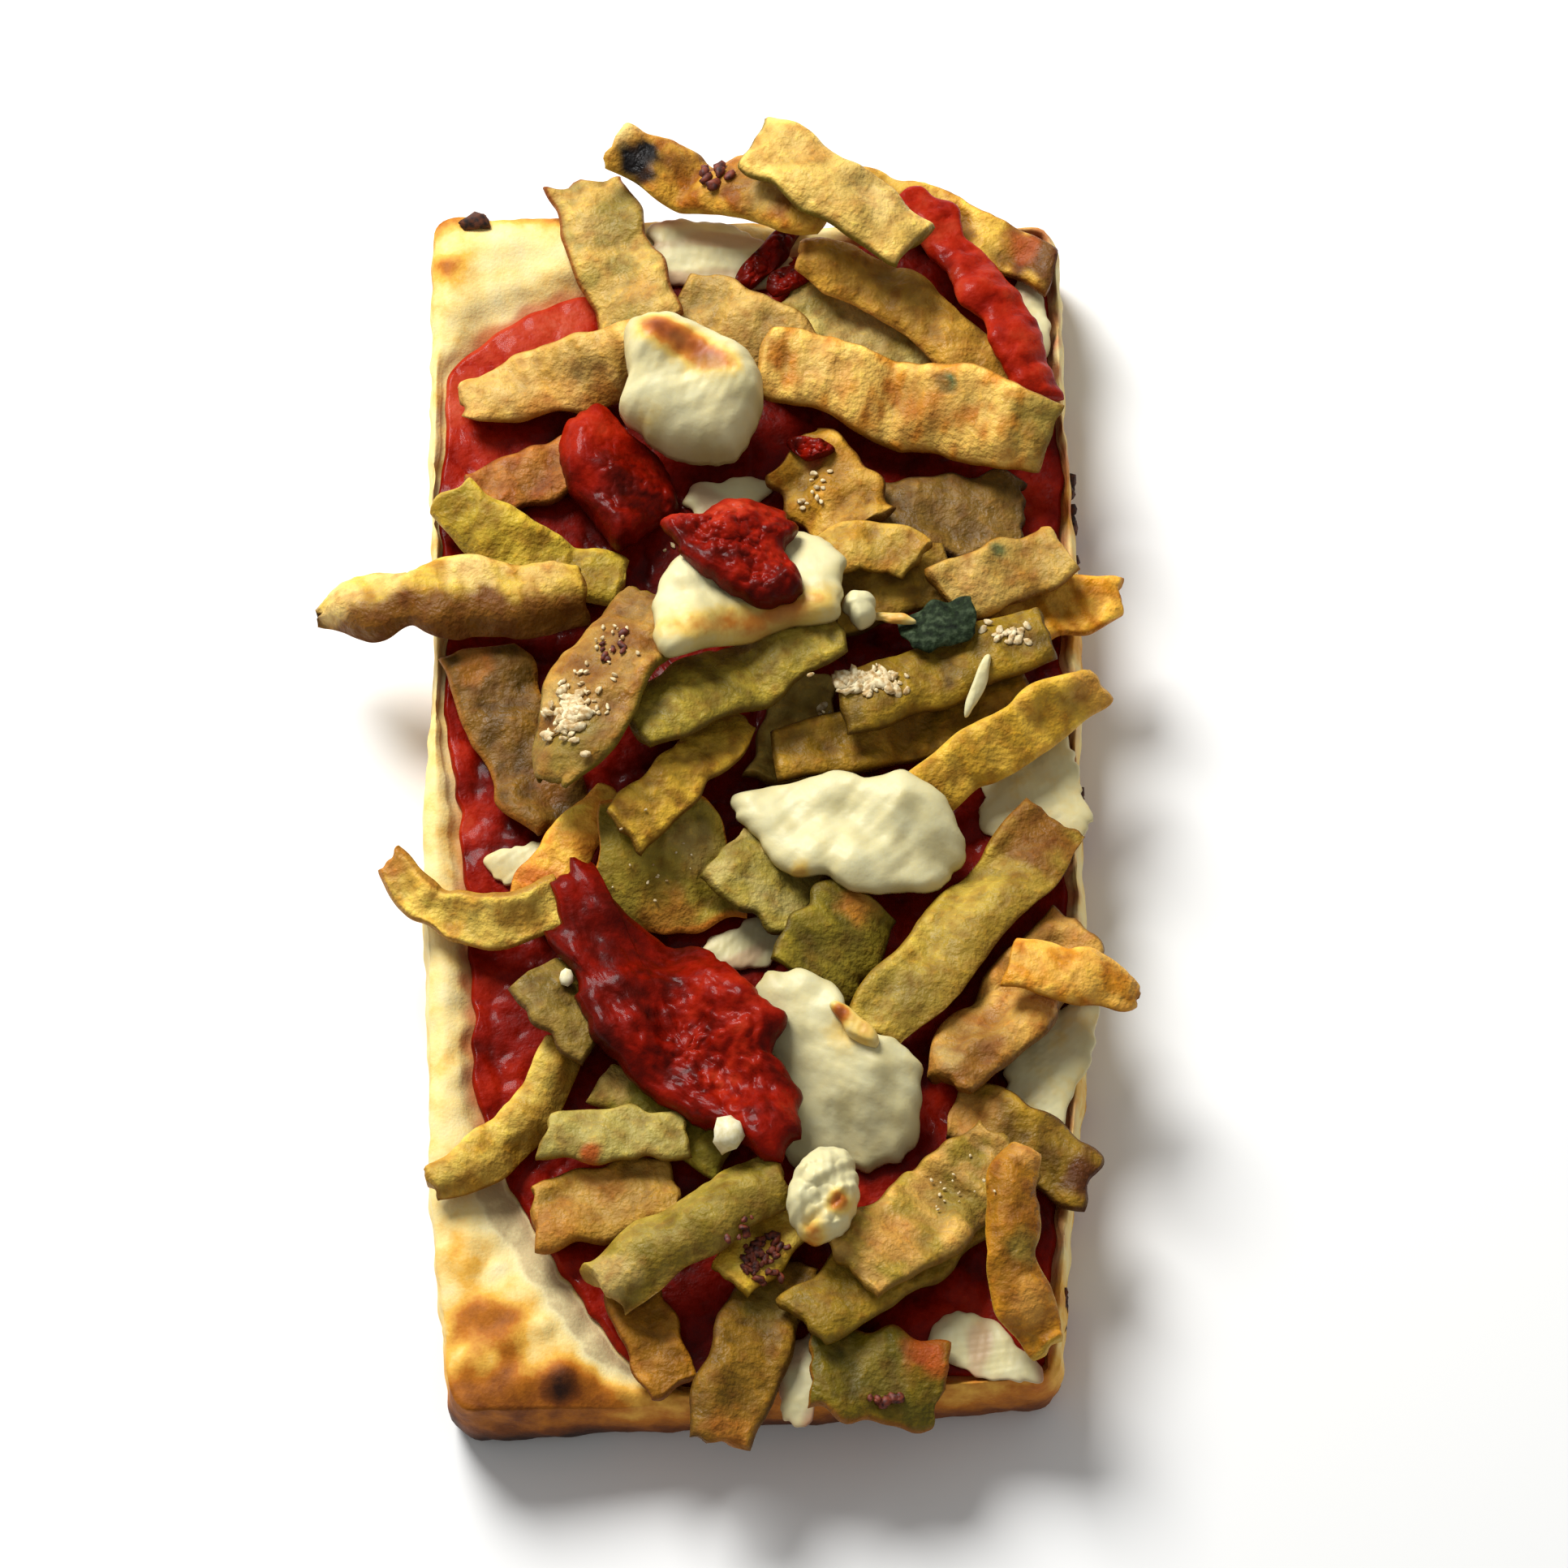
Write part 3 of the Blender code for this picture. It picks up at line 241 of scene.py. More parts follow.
# How each strip was fried: the tone of its flesh, of its mottling and of its cut edges, how crumpled it is, and
# how bright it came out. FRYING_CAST is what frying in oil does to red, green and blue in all of them.
FRYING_CAST = (0.82, 0.76, 0.42)
FRIED = {
    "strip_01": ("e2ba60", "ac7a2a", "985c1c", 1.5, 1.0),
    "strip_02": ("a08c50", "c8b888", "6a5418", 1.0, 1.1),
    "strip_03": ("906e34", "ac8648", "5e4010", 1.0, 0.6),
    "strip_04": ("be8c2e", "daae5a", "7c5012", 1.6, 0.8),
    "strip_05": ("d48e4a", "bc7030", "8c4e16", 1.0, 0.65),
    "strip_06": ("b8a040", "a08430", "cdb45c", 0.9, 1.1),
    "strip_07": ("7e5c28", "60440c", "a06a28", 1.3, 1.0),
    "strip_08": ("d0a04c", "b07614", "a8701a", 1.0, 1.5),
    "strip_09": ("8a6a20", "a88434", "5c4010", 1.0, 1.0),
    "strip_10": ("b09030", "8c7024", "6c5014", 1.0, 0.75),
    "strip_11": ("dcb054", "d0943e", "a86a22", 1.0, 1.5),
    "strip_12": ("93823a", "7a6a24", "c0762c", 1.0, 1.45),
    "strip_13": ("b0a058", "c8ba88", "7a6a28", 1.0, 0.8),
    "strip_14": ("84762c", "6c6020", "5a4c14", 1.2, 1.1),
    "strip_15": ("d8b048", "b08830", "8a6420", 1.0, 0.85),
    "strip_16": ("7a6c30", "5e5220", "48380c", 1.0, 2.1),
    "strip_17": ("dcc070", "c8a050", "b08438", 1.4, 1.1),
    "strip_18": ("e8ca74", "d0a648", "b08224", 0.8, 0.9),
    "strip_19": ("c4a660", "a48840", "8c6420", 0.9, 0.5),
    "strip_20": ("e2b466", "ca9c48", "a26e1c", 0.7, 0.7),
    "strip_21": ("8a8030", "a0903c", "7c6a24", 0.8, 1.2),
    "strip_22": ("ecdc94", "dcc880", "b89848", 0.9, 0.6),
    "strip_23": ("c48a2e", "a4701e", "94560e", 1.0, 0.75),
    "strip_24": ("8a7820", "70661c", "a86c20", 1.0, 0.75),
    "strip_25": ("9a7428", "7c5c18", "6a4a10", 1.1, 0.9),
    "strip_26": ("c0a040", "d0b868", "8a6c1c", 0.9, 1.45),
    "strip_27": ("c4ae5c", "a89438", "a88020", 0.8, 0.7),
    "strip_28": ("b09034", "a08428", "8a6c1c", 0.4, 0.8),
    "strip_29": ("7a6020", "5a4414", "4a2c0c", 1.3, 1.6),
    "strip_30": ("b47e24", "946010", "d4ae4e", 1.2, 1.0),
    "strip_31": ("d8b070", "b09848", "98742c", 2.0, 0.85),
    "strip_32": ("d8ac68", "c08848", "8a6024", 2.2, 0.85),
    "strip_33": ("e0b060", "c88828", "b07820", 1.0, 1.15),
    "strip_34": ("c0a858", "a89040", "8c7020", 1.0, 1.1),
    "strip_35": ("b08c34", "c4a048", "d4b058", 0.9, 1.3),
    "strip_36": ("e0bc78", "d0a058", "a06c20", 1.0, 0.75),
    "strip_37": ("e0bc68", "c89840", "a07820", 1.0, 0.75),
    "strip_38": ("dab87a", "caa466", "a27832", 1.2, 0.8),
    "strip_39": ("b08840", "98702c", "dca864", 1.0, 1.3),
    "strip_40": ("e2bc78", "c88838", "a87428", 1.3, 1.05),
    "strip_41": ("e0bd7a", "b8a468", "a86428", 1.0, 0.8),
    "strip_42": ("cc9c46", "a26214", "e6be5e", 1.6, 1.0),
    "strip_43": ("e0c080", "c8a868", "7c7030", 1.4, 1.1),
    "strip_44": ("e4be84", "d4aa64", "b2843c", 1.3, 0.95),
    "strip_45": ("dcbc58", "b88a2c", "7a4e0e", 1.2, 1.0),
    "strip_46": ("d8a860", "b88038", "a08820", 1.4, 0.55),
    "strip_47": ("a08c58", "8a7440", "5c4414", 1.0, 1.6),
    "strip_48": ("6c5420", "8a7030", "4a340c", 1.0, 1.9),
}

# The tones of marks on the strips: burnt, browned, stained by sauce, green and pale. On strip_42 and strip_45
# the pale marks are partly painted highlights on lit ridges and ends.
CHARRED, UMBER, BROWN, RUST, REDDENED = "080302", "50240a", "7a4a10", "b05014", "94180c"
AMBER, GOLD, OLIVE, MOSS = "b07024", "c89040", "84702a", "4c6a40"
SAND, STRAW, CREAM = "bca05c", "dab462", "ecc878"
PATCHES = {  # marks on a strip: place, radius, tone, how strong
    "strip_01": ((47.0, 93.0, 7.0, UMBER, 0.9), (43.5, 95.0, 3.0, RUST, 0.7)),
    "strip_02": ((17.0, 80.0, 6.0, SAND, 0.8),),
    "strip_04": ((9.2, 56.6, 2.4, REDDENED, 0.8),),
    "strip_07": ((-31.0, 0.0, 4.0, BROWN, 0.7), (-43.5, 20.0, 3.5, AMBER, 0.7)),
    "strip_11": ((-33.0, -18.0, 5.0, RUST, 0.7),),
    "strip_12": ((-13.0, -23.5, 5.0, AMBER, 0.7), (-9.0, -12.0, 4.0, SAND, 0.6)),
    "strip_14": ((16.0, -23.0, 3.0, AMBER, 0.8),),
    "strip_17": ((-56.0, -14.5, 4.0, AMBER, 0.8),),
    "strip_20": ((-22.0, -67.0, 3.0, AMBER, 0.5), (-30.0, -75.0, 5.0, AMBER, 0.6)),
    "strip_21": ((-22.0, -50.5, 4.0, STRAW, 0.8),),
    "strip_22": ((-24.1, -64.2, 2.0, RUST, 0.9),),
    "strip_24": ((26.0, -94.0, 4.0, RUST, 0.9), (19.0, -96.0, 5.0, OLIVE, 0.5)),
    "strip_25": ((2.0, -86.0, 4.0, OLIVE, 0.6), (-3.5, -107.0, 4.0, AMBER, 0.7)),
    "strip_27": ((-21.0, -84.0, 4.0, SAND, 0.8),),
    "strip_29": ((33.0, -55.5, 5.0, GOLD, 0.8), (50.5, -65.5, 4.0, UMBER, 0.9)),
    "strip_30": ((41.5, -64.5, 3.6, GOLD, 0.9), (42.6, -72.0, 3.4, BROWN, 0.8),
                 (40.4, -80.0, 3.0, OLIVE, 0.8), (41.5, -88.0, 3.6, GOLD, 0.7)),
    "strip_31": ((31.5, -71.5, 5.0, OLIVE, 0.7), (21.0, -78.0, 5.0, GOLD, 0.7)),
    "strip_32": ((45.5, -31.5, 5.0, GOLD, 0.7), (43.0, -34.0, 2.5, AMBER, 0.8),
                 (33.0, -50.0, 7.0, BROWN, 0.8), (29.5, -48.0, 2.5, SAND, 0.7)),
    "strip_34": ((44.0, -8.0, 9.0, BROWN, 0.9), (22.0, -38.0, 6.0, OLIVE, 0.5)),
    "strip_35": ((53.5, 14.0, 5.0, GOLD, 0.6),),
    "strip_36": ((38.4, 35.8, 1.4, MOSS, 0.8), (34.0, 30.0, 4.0, STRAW, 0.6)),
    "strip_40": ((30.6, 65.6, 1.9, MOSS, 1.0), (46.0, 58.0, 6.0, OLIVE, 0.8), (27.0, 62.5, 5.0, AMBER, 0.6),
                 (12.0, 69.0, 5.0, STRAW, 0.5)),
    "strip_41": ((-21.0, 100.0, 5.5, OLIVE, 0.8), (-25.5, 98.0, 3.0, SAND, 0.6), (-18.0, 86.0, 3.0, GOLD, 0.5)),
    "strip_42": ((-21.5, 112.5, 3.0, CREAM, 0.9), (-18.4, 107.6, 4.4, CHARRED, 1.0), (-12.5, 107.5, 2.6, BROWN, 0.8),
                 (2.0, 99.5, 3.6, STRAW, 0.7), (-8.2, 110.5, 2.0, UMBER, 0.8), (-3.0, 103.0, 4.0, BROWN, 0.5)),
    "strip_43": ((10.0, 104.0, 3.0, GOLD, 0.6), (20.0, 95.0, 3.6, CREAM, 0.7), (17.0, 99.0, 5.0, SAND, 0.5),
                 (6.0, 106.0, 4.0, STRAW, 0.5)),
    "strip_44": ((-34.0, 64.5, 3.4, AMBER, 0.8), (-24.0, 66.5, 3.4, AMBER, 0.8), (-42.5, 68.5, 4.0, STRAW, 0.5),
                 (-31.0, 67.0, 4.0, GOLD, 0.5)),
    "strip_45": ((-65.0, 31.5, 4.0, CREAM, 0.8), (-57.0, 34.0, 4.0, CREAM, 0.7), (-44.0, 34.5, 4.5, CREAM, 0.8),
                 (-33.0, 33.0, 4.5, STRAW, 0.7)),
    "strip_46": ((-28.0, -1.0, 6.0, OLIVE, 0.8), (-20.0, 18.0, 3.0, BROWN, 0.6), (-24.0, 11.0, 2.4, BROWN, 0.6),
                 (-30.0, 8.0, 3.0, SAND, 0.6), (-31.0, 3.5, 2.0, BROWN, 0.7)),
}
# Painted shade: a dark tone on the side of a folded strip that slopes down to the right, away from the light.
FOLDED_WITH_PAINTED_SHADE = {  # strips folded lengthwise: the tone and the strength of the side that slopes down to the right
    "strip_45": ("6c3e06", 0.95),
    "strip_27": ("6c5010", 0.5),
    "strip_34": ("74540f", 0.5),
    "strip_18": ("84580f", 0.6),
}
BROWNED = {  # browned and thin places on the cheeses: place, radius, how brown
    "cheese_browned": ((-15.8, 72.6, 2.8, 0.62), (-12.6, 70.6, 3.0, 0.60), (-9.0, 69.2, 2.8, 0.50),
                       (-6.4, 66.6, 3.0, 0.46), (-3.4, 65.6, 2.2, 0.22), (-17.0, 59.0, 2.5, 0.12)),
    "cheese_slab": ((5.5, 22.0, 3.4, 0.50), (0.5, 20.2, 3.0, 0.42), (-4.0, 18.8, 3.2, 0.34), (10.6, 23.6, 3.0, 0.34),
                    (-8.6, 17.6, 3.0, 0.30), (-13.0, 17.0, 3.0, 0.26)),
    "cheese_middle": ((7.4, -18.6, 2.0, 0.40),),
    "cheese_tail": ((22.6, 23.6, 3.4, 0.42),),
    "cheese_curl": ((13.2, -43.0, 1.6, 0.75), (17.0, -45.6, 3.4, 0.34)),
    "cheese_front": ((14.0, -46.0, 3.0, 0.25),),
    "cheese_crumbly": ((12.8, -74.6, 1.8, 0.6), (9.0, -79.0, 2.4, 0.45)),
}
PALE_MELTS = ("thin_melt_right", "thin_melt_front_right", "thin_melt_04")
CHEESE_BITS = ("cheese_ball", "cheese_tail", "cheese_curl", "cheese_sliver")
COARSE_PULP = {  # where a dollop's pulp is coarse: how coarse it is elsewhere, and one place that is coarser
    "sauce_dollop_left": (0.30, (-14, 47, 7, 0.6)),
    "sauce_dollop_front": (0.45, (-2, -50, 17, 0.7)),
}
DOLLOP_BRIGHT = {  # lit and dried places on the dollops: place, radius and how much brighter
    "sauce_dollop_left": ((-26, 60, 7, 0.42), (-17, 43, 3, 0.20), (-20, 51, 5, -0.12)),
    "sauce_dollop_middle": ((-3, 40, 6, 0.34), (-12, 38, 4, 0.2), (4, 30, 3, 0.16)),
    "sauce_dollop_front": ((-3, -38, 6, 0.26), (-2, -54, 10, 0.14), (-28, -20, 4, 0.20)),
}


# Arithmetic of the shapes

def turned(degrees):
    """The unit vector at a compass angle, and the one to its left."""
    angle = np.radians(degrees)
    ahead = np.array([np.cos(angle), np.sin(angle)])
    return ahead, np.array([-ahead[1], ahead[0]])


def eased(value, low, high):
    """0 below low and 1 above high, with an S-curve between."""
    share = np.clip((value - low) / (high - low), 0, 1)
    return share * share * (3 - 2 * share)


def near_to(x, y, at_x, at_y, radius):
    """1 at a place, falling away as a bell with that radius."""
    return np.exp(-((x - at_x) ** 2 + (y - at_y) ** 2) / radius**2)


def marked(x, y, marks):
    """The sum of marks, each a bell with its place, radius and strength."""
    return sum((strength * near_to(x, y, at_x, at_y, radius) for at_x, at_y, radius, strength in marks), 0 * x)


def ripple(x, y, wavelength, seed):
    """A smooth random field between about -1 and 1: six sine waves that cross in seeded directions."""
    draw = np.random.default_rng(seed)
    total = np.zeros(np.broadcast(x, y).shape)
    for angle, phase, stretch in zip(draw.uniform(0, np.pi, 6), draw.uniform(0, 2 * np.pi, 6),
                                     draw.uniform(0.7, 1.5, 6)):
        wave = 2 * np.pi / (wavelength * stretch)
        total += np.sin(wave * (x * np.cos(angle) + y * np.sin(angle)) + phase)
    return total / 3.5


def knobs(x, y, spacing, seed):
    """Rounded knobs between 0 and 1: a seeded point in every square cell, a dome round each, and the highest
    dome counts."""
    table = np.random.default_rng(seed).uniform(size=(64, 64, 3))
    column, row = np.floor(x / spacing).astype(int), np.floor(y / spacing).astype(int)
    best = np.zeros(np.broadcast(x, y).shape)
    for right in (-1, 0, 1):
        for ahead in (-1, 0, 1):
            shift_x, shift_y, size = np.moveaxis(table[(column + right) % 64, (row + ahead) % 64], -1, 0)
            away = np.hypot(x - (column + right + shift_x) * spacing, y - (row + ahead + shift_y) * spacing)
            best = np.maximum(best, 1 - (away / (spacing * (0.45 + 0.5 * size))) ** 2)
    return np.sqrt(best)


def seed_of(name):
    """A fixed number for each name, for the seeded draws."""
    return sum((place + 1) * ord(letter) for place, letter in enumerate(name))


class Heap:
    """The height of everything laid so far, on a grid of square cells. A cell keeps the highest point of
    itself and its neighbours, so a piece laid on it clears steep sides too."""

    CELL = 0.5
    LOW = np.array([-80.0, -125.0])
    SHAPE = (320, 500)

    def __init__(self):
        self.height = np.zeros(self.SHAPE)

    def cells(self, x, y):
        """The row and column of each place, held inside the grid."""
        row = np.clip(((x - self.LOW[0]) / self.CELL).astype(int), 0, self.SHAPE[0] - 1)
        column = np.clip(((y - self.LOW[1]) / self.CELL).astype(int), 0, self.SHAPE[1] - 1)
        return row, column

    def under(self, x, y):
        """The heap's height at each place."""
        return self.height[self.cells(x, y)]

    def add(self, points, quads, steps=3):
        """Lays a mesh on the heap. Each triangle is sprinkled with an even lattice of points, and every cell
        takes the highest point that falls in it or beside it."""
        corners = np.concatenate([quads[:, (0, 1, 2)], quads[:, (0, 2, 3)]])
        first, second = np.meshgrid(np.arange(steps + 1), np.arange(steps + 1))
        inside = first + second <= steps
        a, b = first[inside] / steps, second[inside] / steps
        weights = np.stack([1 - a - b, a, b], axis=1)
        spots = np.einsum("kw,twc->tkc", weights, points[corners]).reshape(-1, 3)
        layer = np.zeros(self.SHAPE)
        np.maximum.at(layer, self.cells(spots[:, 0], spots[:, 1]), spots[:, 2])
        for axis in (0, 1):
            layer = np.maximum.reduce([layer, np.roll(layer, 1, axis), np.roll(layer, -1, axis)])
        self.height = np.maximum(self.height, layer)


def sagged(at, on, need, radii):
    """The height of a piece at the places `at`, given the lowest heights that it may have at the places `on`:
    from each of them a parabola falls away, no tighter than the bend radii, and the highest one counts.
    Places are pairs of distances, along the piece and across it."""
    away = at[:, None, :] - on[None, :, :]
    fall = (away**2 / (2 * np.array(radii))).sum(axis=2)
    return (need[None, :] - fall).max(axis=1)


def softened(field, times):
    """The field with each value averaged with its neighbours in both directions, some times over."""
    for _ in range(times):
        for axis in (0, 1):
            padded = np.concatenate([np.take(field, [0], axis), field, np.take(field, [-1], axis)], axis)
            before, after = (np.take(padded, np.arange(field.shape[axis]) + shift, axis) for shift in (0, 2))
            field = (before + 2 * field + after) / 4
    return field


def evened(at, on, need, radii):
    """The same height with its creases evened out: taken on a square lattice, softened there, and read off
    between the lattice's points."""
    step, low = 0.8, at.min(axis=0) - 3.2
    count = np.ceil((at.max(axis=0) + 3.2 - low) / step).astype(int) + 1
    lattice = np.stack(np.meshgrid(*(low[k] + step * np.arange(count[k]) for k in (0, 1)), indexing="ij"), axis=-1)
    field = softened(sagged(lattice.reshape(-1, 2), on, need, radii).reshape(count), 10)
    place = (at - low) / step
    cell = place.astype(int)
    (u, v), (i, j) = (place - cell).T, cell.T
    return ((1 - u) * (1 - v) * field[i, j] + u * (1 - v) * field[i + 1, j] + (1 - u) * v * field[i, j + 1]
            + u * v * field[i + 1, j + 1])


def outward(grid):
    """The unit normal at each point of a grid of rings: the ring's own direction crossed with the direction
    from ring to ring."""
    around = np.roll(grid, -1, axis=1) - np.roll(grid, 1, axis=1)
    onward = np.gradient(grid, axis=0)
    normal = np.cross(around, onward)
    return normal / np.maximum(np.linalg.norm(normal, axis=2, keepdims=True), 1e-9)


def ring_quads(rows, columns):
    """The four corners of each face between neighbouring rings, with every ring joined round."""
    i, j = np.meshgrid(np.arange(rows - 1), np.arange(columns), indexing="ij")
    k = (j + 1) % columns
    corners = [i * columns + j, i * columns + k, (i + 1) * columns + k, (i + 1) * columns + j]
    return np.stack(corners, axis=-1).reshape(-1, 4)


def pole_triangles(ring_start, columns, pole, upward):
    """The fan that closes a ring to one point."""
    j = np.arange(columns)
    k = (j + 1) % columns
    first, second = (j, k) if upward else (k, j)
    return np.stack([ring_start + first, ring_start + second, np.full(columns, pole)], axis=1)


def pole_to_pole(rows, columns):
    """The faces of a surface of rings between two poles, its first and its last point."""
    last = 1 + (rows - 1) * columns
    below = pole_triangles(1, columns, 0, upward=False)
    above = pole_triangles(last, columns, last + columns, upward=True)
    return ring_quads(rows, columns) + 1, np.concatenate([below, above])


# Strips

ALONG = np.concatenate([(-1, -0.994, -0.98, -0.96), np.linspace(-0.94, 0.94, 92), (0.96, 0.98, 0.994, 1)])
HALF_ROUND = np.linspace(-1, 1, 23)
ACROSS = np.sign(HALF_ROUND) * (1 - (1 - np.abs(HALF_ROUND)) ** 2.2)  # closer together at the edges


def taper(s, ends):
    """The share of a strip's width at s from -1 to 1: full in the middle and drawn in towards both ends."""
    start = 1 - (1 - ends[0]) * np.clip(-s, 0, 1) ** 3
    finish = 1 - (1 - ends[1]) * np.clip(s, 0, 1) ** 3
    return start * finish


def strip_places(piece, s, t):
    """Where the point at s along and t across, both from -1 to 1, lies in plan, with its distance across and
    the tangent of its roll. The centre line is a shallow bow with a slight wander, and both ends are cut at a
    slant."""
    ahead, left = turned(piece.heading)
    draw = np.random.default_rng(seed_of(piece.name))
    wander = 0.035 * piece.width * np.sin(2.2 * np.pi * s + draw.uniform(0, 6.28))
    roll = np.radians(piece.roll[0] + (piece.roll[1] - piece.roll[0]) * (s + 1) / 2)
    swell = 1 + 0.05 * np.sin(3.1 * np.pi * s + draw.uniform(0, 6.28))
    swell = swell * (1 - piece.waist[1] * np.exp(-((s - piece.waist[0]) / 0.16) ** 2))
    across = t * piece.width / 2 * taper(s, piece.ends) * swell * np.cos(roll)
    slide = np.stack([-2 * piece.bend * s, np.full_like(s, piece.length / 2)], axis=-1)
    slide = slide / np.linalg.norm(slide, axis=-1, keepdims=True)
    slant = np.where(s < 0, *draw.uniform(-0.3, 0.3, 2)) * np.abs(s) ** 3
    along = piece.length / 2 * s + across * (slant - slide[..., 0])
    aside = piece.bend * (1 - s**2) + wander + across * slide[..., 1]
    x = piece.x + along * ahead[0] + aside * left[0]
    y = piece.y + along * ahead[1] + aside * left[1]
    return x, y, across, np.tan(roll)


def strip_middle(piece, heap, s, t):
    """The strip's middle surface as an array of points: it sags onto the heap, rolls, cups and curls up."""
    fine_s, fine_t = (grid.ravel() for grid in np.meshgrid(np.linspace(-1, 1, 45), np.linspace(-1, 1, 11)))
    x, y, across, slope = strip_places(piece, fine_s, fine_t)
    half = piece.thickness / 2 * np.sqrt(1 + slope**2)
    need = heap.under(x, y) + GAP + half - across * slope + piece.cup * fine_t**2
    on = np.stack([fine_s * piece.length / 2, across], axis=1)
    x, y, across, slope = strip_places(piece, s.ravel(), t.ravel())
    at = np.stack([s.ravel() * piece.length / 2, across], axis=1)
    z = softened(sagged(at, on, need, (BEND_ALONG, BEND_ACROSS)).reshape(s.shape), 8).ravel()
    z = z + across * slope - piece.cup * t.ravel() ** 2 + 0.09 * abs(piece.cup)
    z = z + np.where(s.ravel() < 0, piece.lift[0], piece.lift[1]) * np.abs(s.ravel()) ** 2.5
    return np.stack([x, y, z], axis=1).reshape(*s.shape, 3)


def strip_surface(piece, heap, crumple):
    """A cut strip as closed rings: its middle surface, thickened to a plank with slightly rounded, ragged sides
    and ends, thinner where it is narrow, then moved along its normals by folds, edges that curl up in places and
    a pitted skin. The right side of a folded strip slopes down. Also gives s, t, the side of the middle that
    each point is on, and how far the folds and the pits raise it."""
    seed = seed_of(piece.name)
    s, t = np.meshgrid(ALONG, ACROSS, indexing="ij")
    run, side = s * piece.length / 2, t * piece.width / 2
    rag = 0.035 * ripple(run, np.sign(t) * 20, 12, seed) + 0.011 * ripple(run, np.sign(t) * 20, 3.6, seed + 1)
    ends = 0.55 * ripple(side, np.sign(s) * 30, 5, seed + 2)
    ragged_s = s + np.sign(s) * np.abs(s) ** 10 * ends * 2 / piece.length
    middle = strip_middle(piece, heap, ragged_s, t * (1 + rag))
    along, across = np.gradient(middle, axis=(0, 1))
    normal = np.cross(along, across)
    normal = normal / np.linalg.norm(normal, axis=2, keepdims=True)
    depth = np.sqrt(1 - np.abs(t) ** 7) * (1 - 0.35 * eased(np.abs(s), 0.97, 1.0))
    depth = depth * piece.thickness / 2 * (1 + 0.22 * ripple(run, side, 11, seed + 4))
    depth = depth * np.clip(taper(s, piece.ends) / 0.6, 0.45, 1)
    slope = 0.42 * piece.thickness * eased(-t, 0.0, 1.0) * (piece.name in FOLDED_WITH_PAINTED_SHADE)
    folds = 0.42 * ripple(run, side, 11, seed + 5) + 0.28 * ripple(run, side, 5.5, seed + 6)
    curl = 0.9 * t**2 * eased(ripple(run, 0 * side, 24, seed + 11), -0.7, 0.7)
    folds = (folds * crumple + curl) * min(1.0, piece.thickness / 3)
    pits = 0.11 * ripple(run, side, 3.1, seed + 7) + 0.20 * (knobs(run, side, 2.0, seed + 8) - 0.5)
    dents = folds + pits * np.sqrt(1 - t**8)
    upper = middle + normal * (depth + dents - slope * np.sqrt(1 - t**8))[..., None]
    lower = middle - normal * (depth - folds)[..., None]
    rings = np.concatenate([upper[:, ::-1], lower[:, 1:-1]], axis=1)
    # The two edges are where the upper and the lower surface meet.
    for edge in (0, len(ACROSS) - 1):
        rings[:, edge] = (upper[:, ::-1][:, edge] + lower[:, ::-1][:, edge]) / 2
    s, t, above, folds, pits = (
        np.concatenate([over[:, ::-1], under[:, 1:-1]], axis=1).ravel()
        for over, under in ((s, s), (t, t), (np.ones_like(s), -np.ones_like(s)), (folds, folds), (pits, pits))
    )
    return rings, s, t, above, folds, pits


def strip_faces(rows, columns):
    """The faces of a strip: between its rings, and over both ends between its upper and its lower points, with
    a triangle at each side."""
    a = np.arange(1, columns // 2 - 1)
    over_end = np.stack([a, a + 1, columns - 1 - a, columns - a], axis=1)
    sides = np.array([(0, 1, columns - 1), (columns // 2 - 1, columns // 2, columns // 2 + 1)])
    last = (rows - 1) * columns
    quads = np.concatenate([ring_quads(rows, columns), over_end[:, ::-1], over_end + last])
    return quads, np.concatenate([sides[:, ::-1], sides + last])


# Lumps

LUMP_AROUND = 132
LUMP_UNDER = np.linspace(0.08, 0.97, 11)  # the share of the way out of each ring below
LUMP_OVER = np.concatenate([np.cos(np.linspace(0, 0.75, 12)) ** (2 / 3), np.linspace(0.795, 0.015, 40)])  # above


def blob_places(piece, share, turn, rag=0.0):
    """Where the point at that share of the way out and that share of a turn lies in plan. The outline is a
    smooth closed curve through the corners, whose slope at each is half the step between its neighbours, with
    a ragged edge."""
    count = len(piece.outline)
    corner = np.floor(turn * count).astype(int)
    u = (turn * count - corner)[:, None]
    before, start, end, after = (piece.outline[(corner + step) % count] for step in (-1, 0, 1, 2))
    edge = ((2 * u**3 - 3 * u**2 + 1) * start + (u**3 - 2 * u**2 + u) * (end - before) / 2
            + (3 * u**2 - 2 * u**3) * end + (u**3 - u**2) * (after - start) / 2)
    seed = seed_of(piece.name)
    waves = ripple(*edge.T, 6, seed + 1) + 0.5 * ripple(*edge.T, 2.6, seed + 2)
    reach = share * (1 + rag * share**3 * waves)
    return piece.middle + reach[:, None] * (edge - piece.middle)


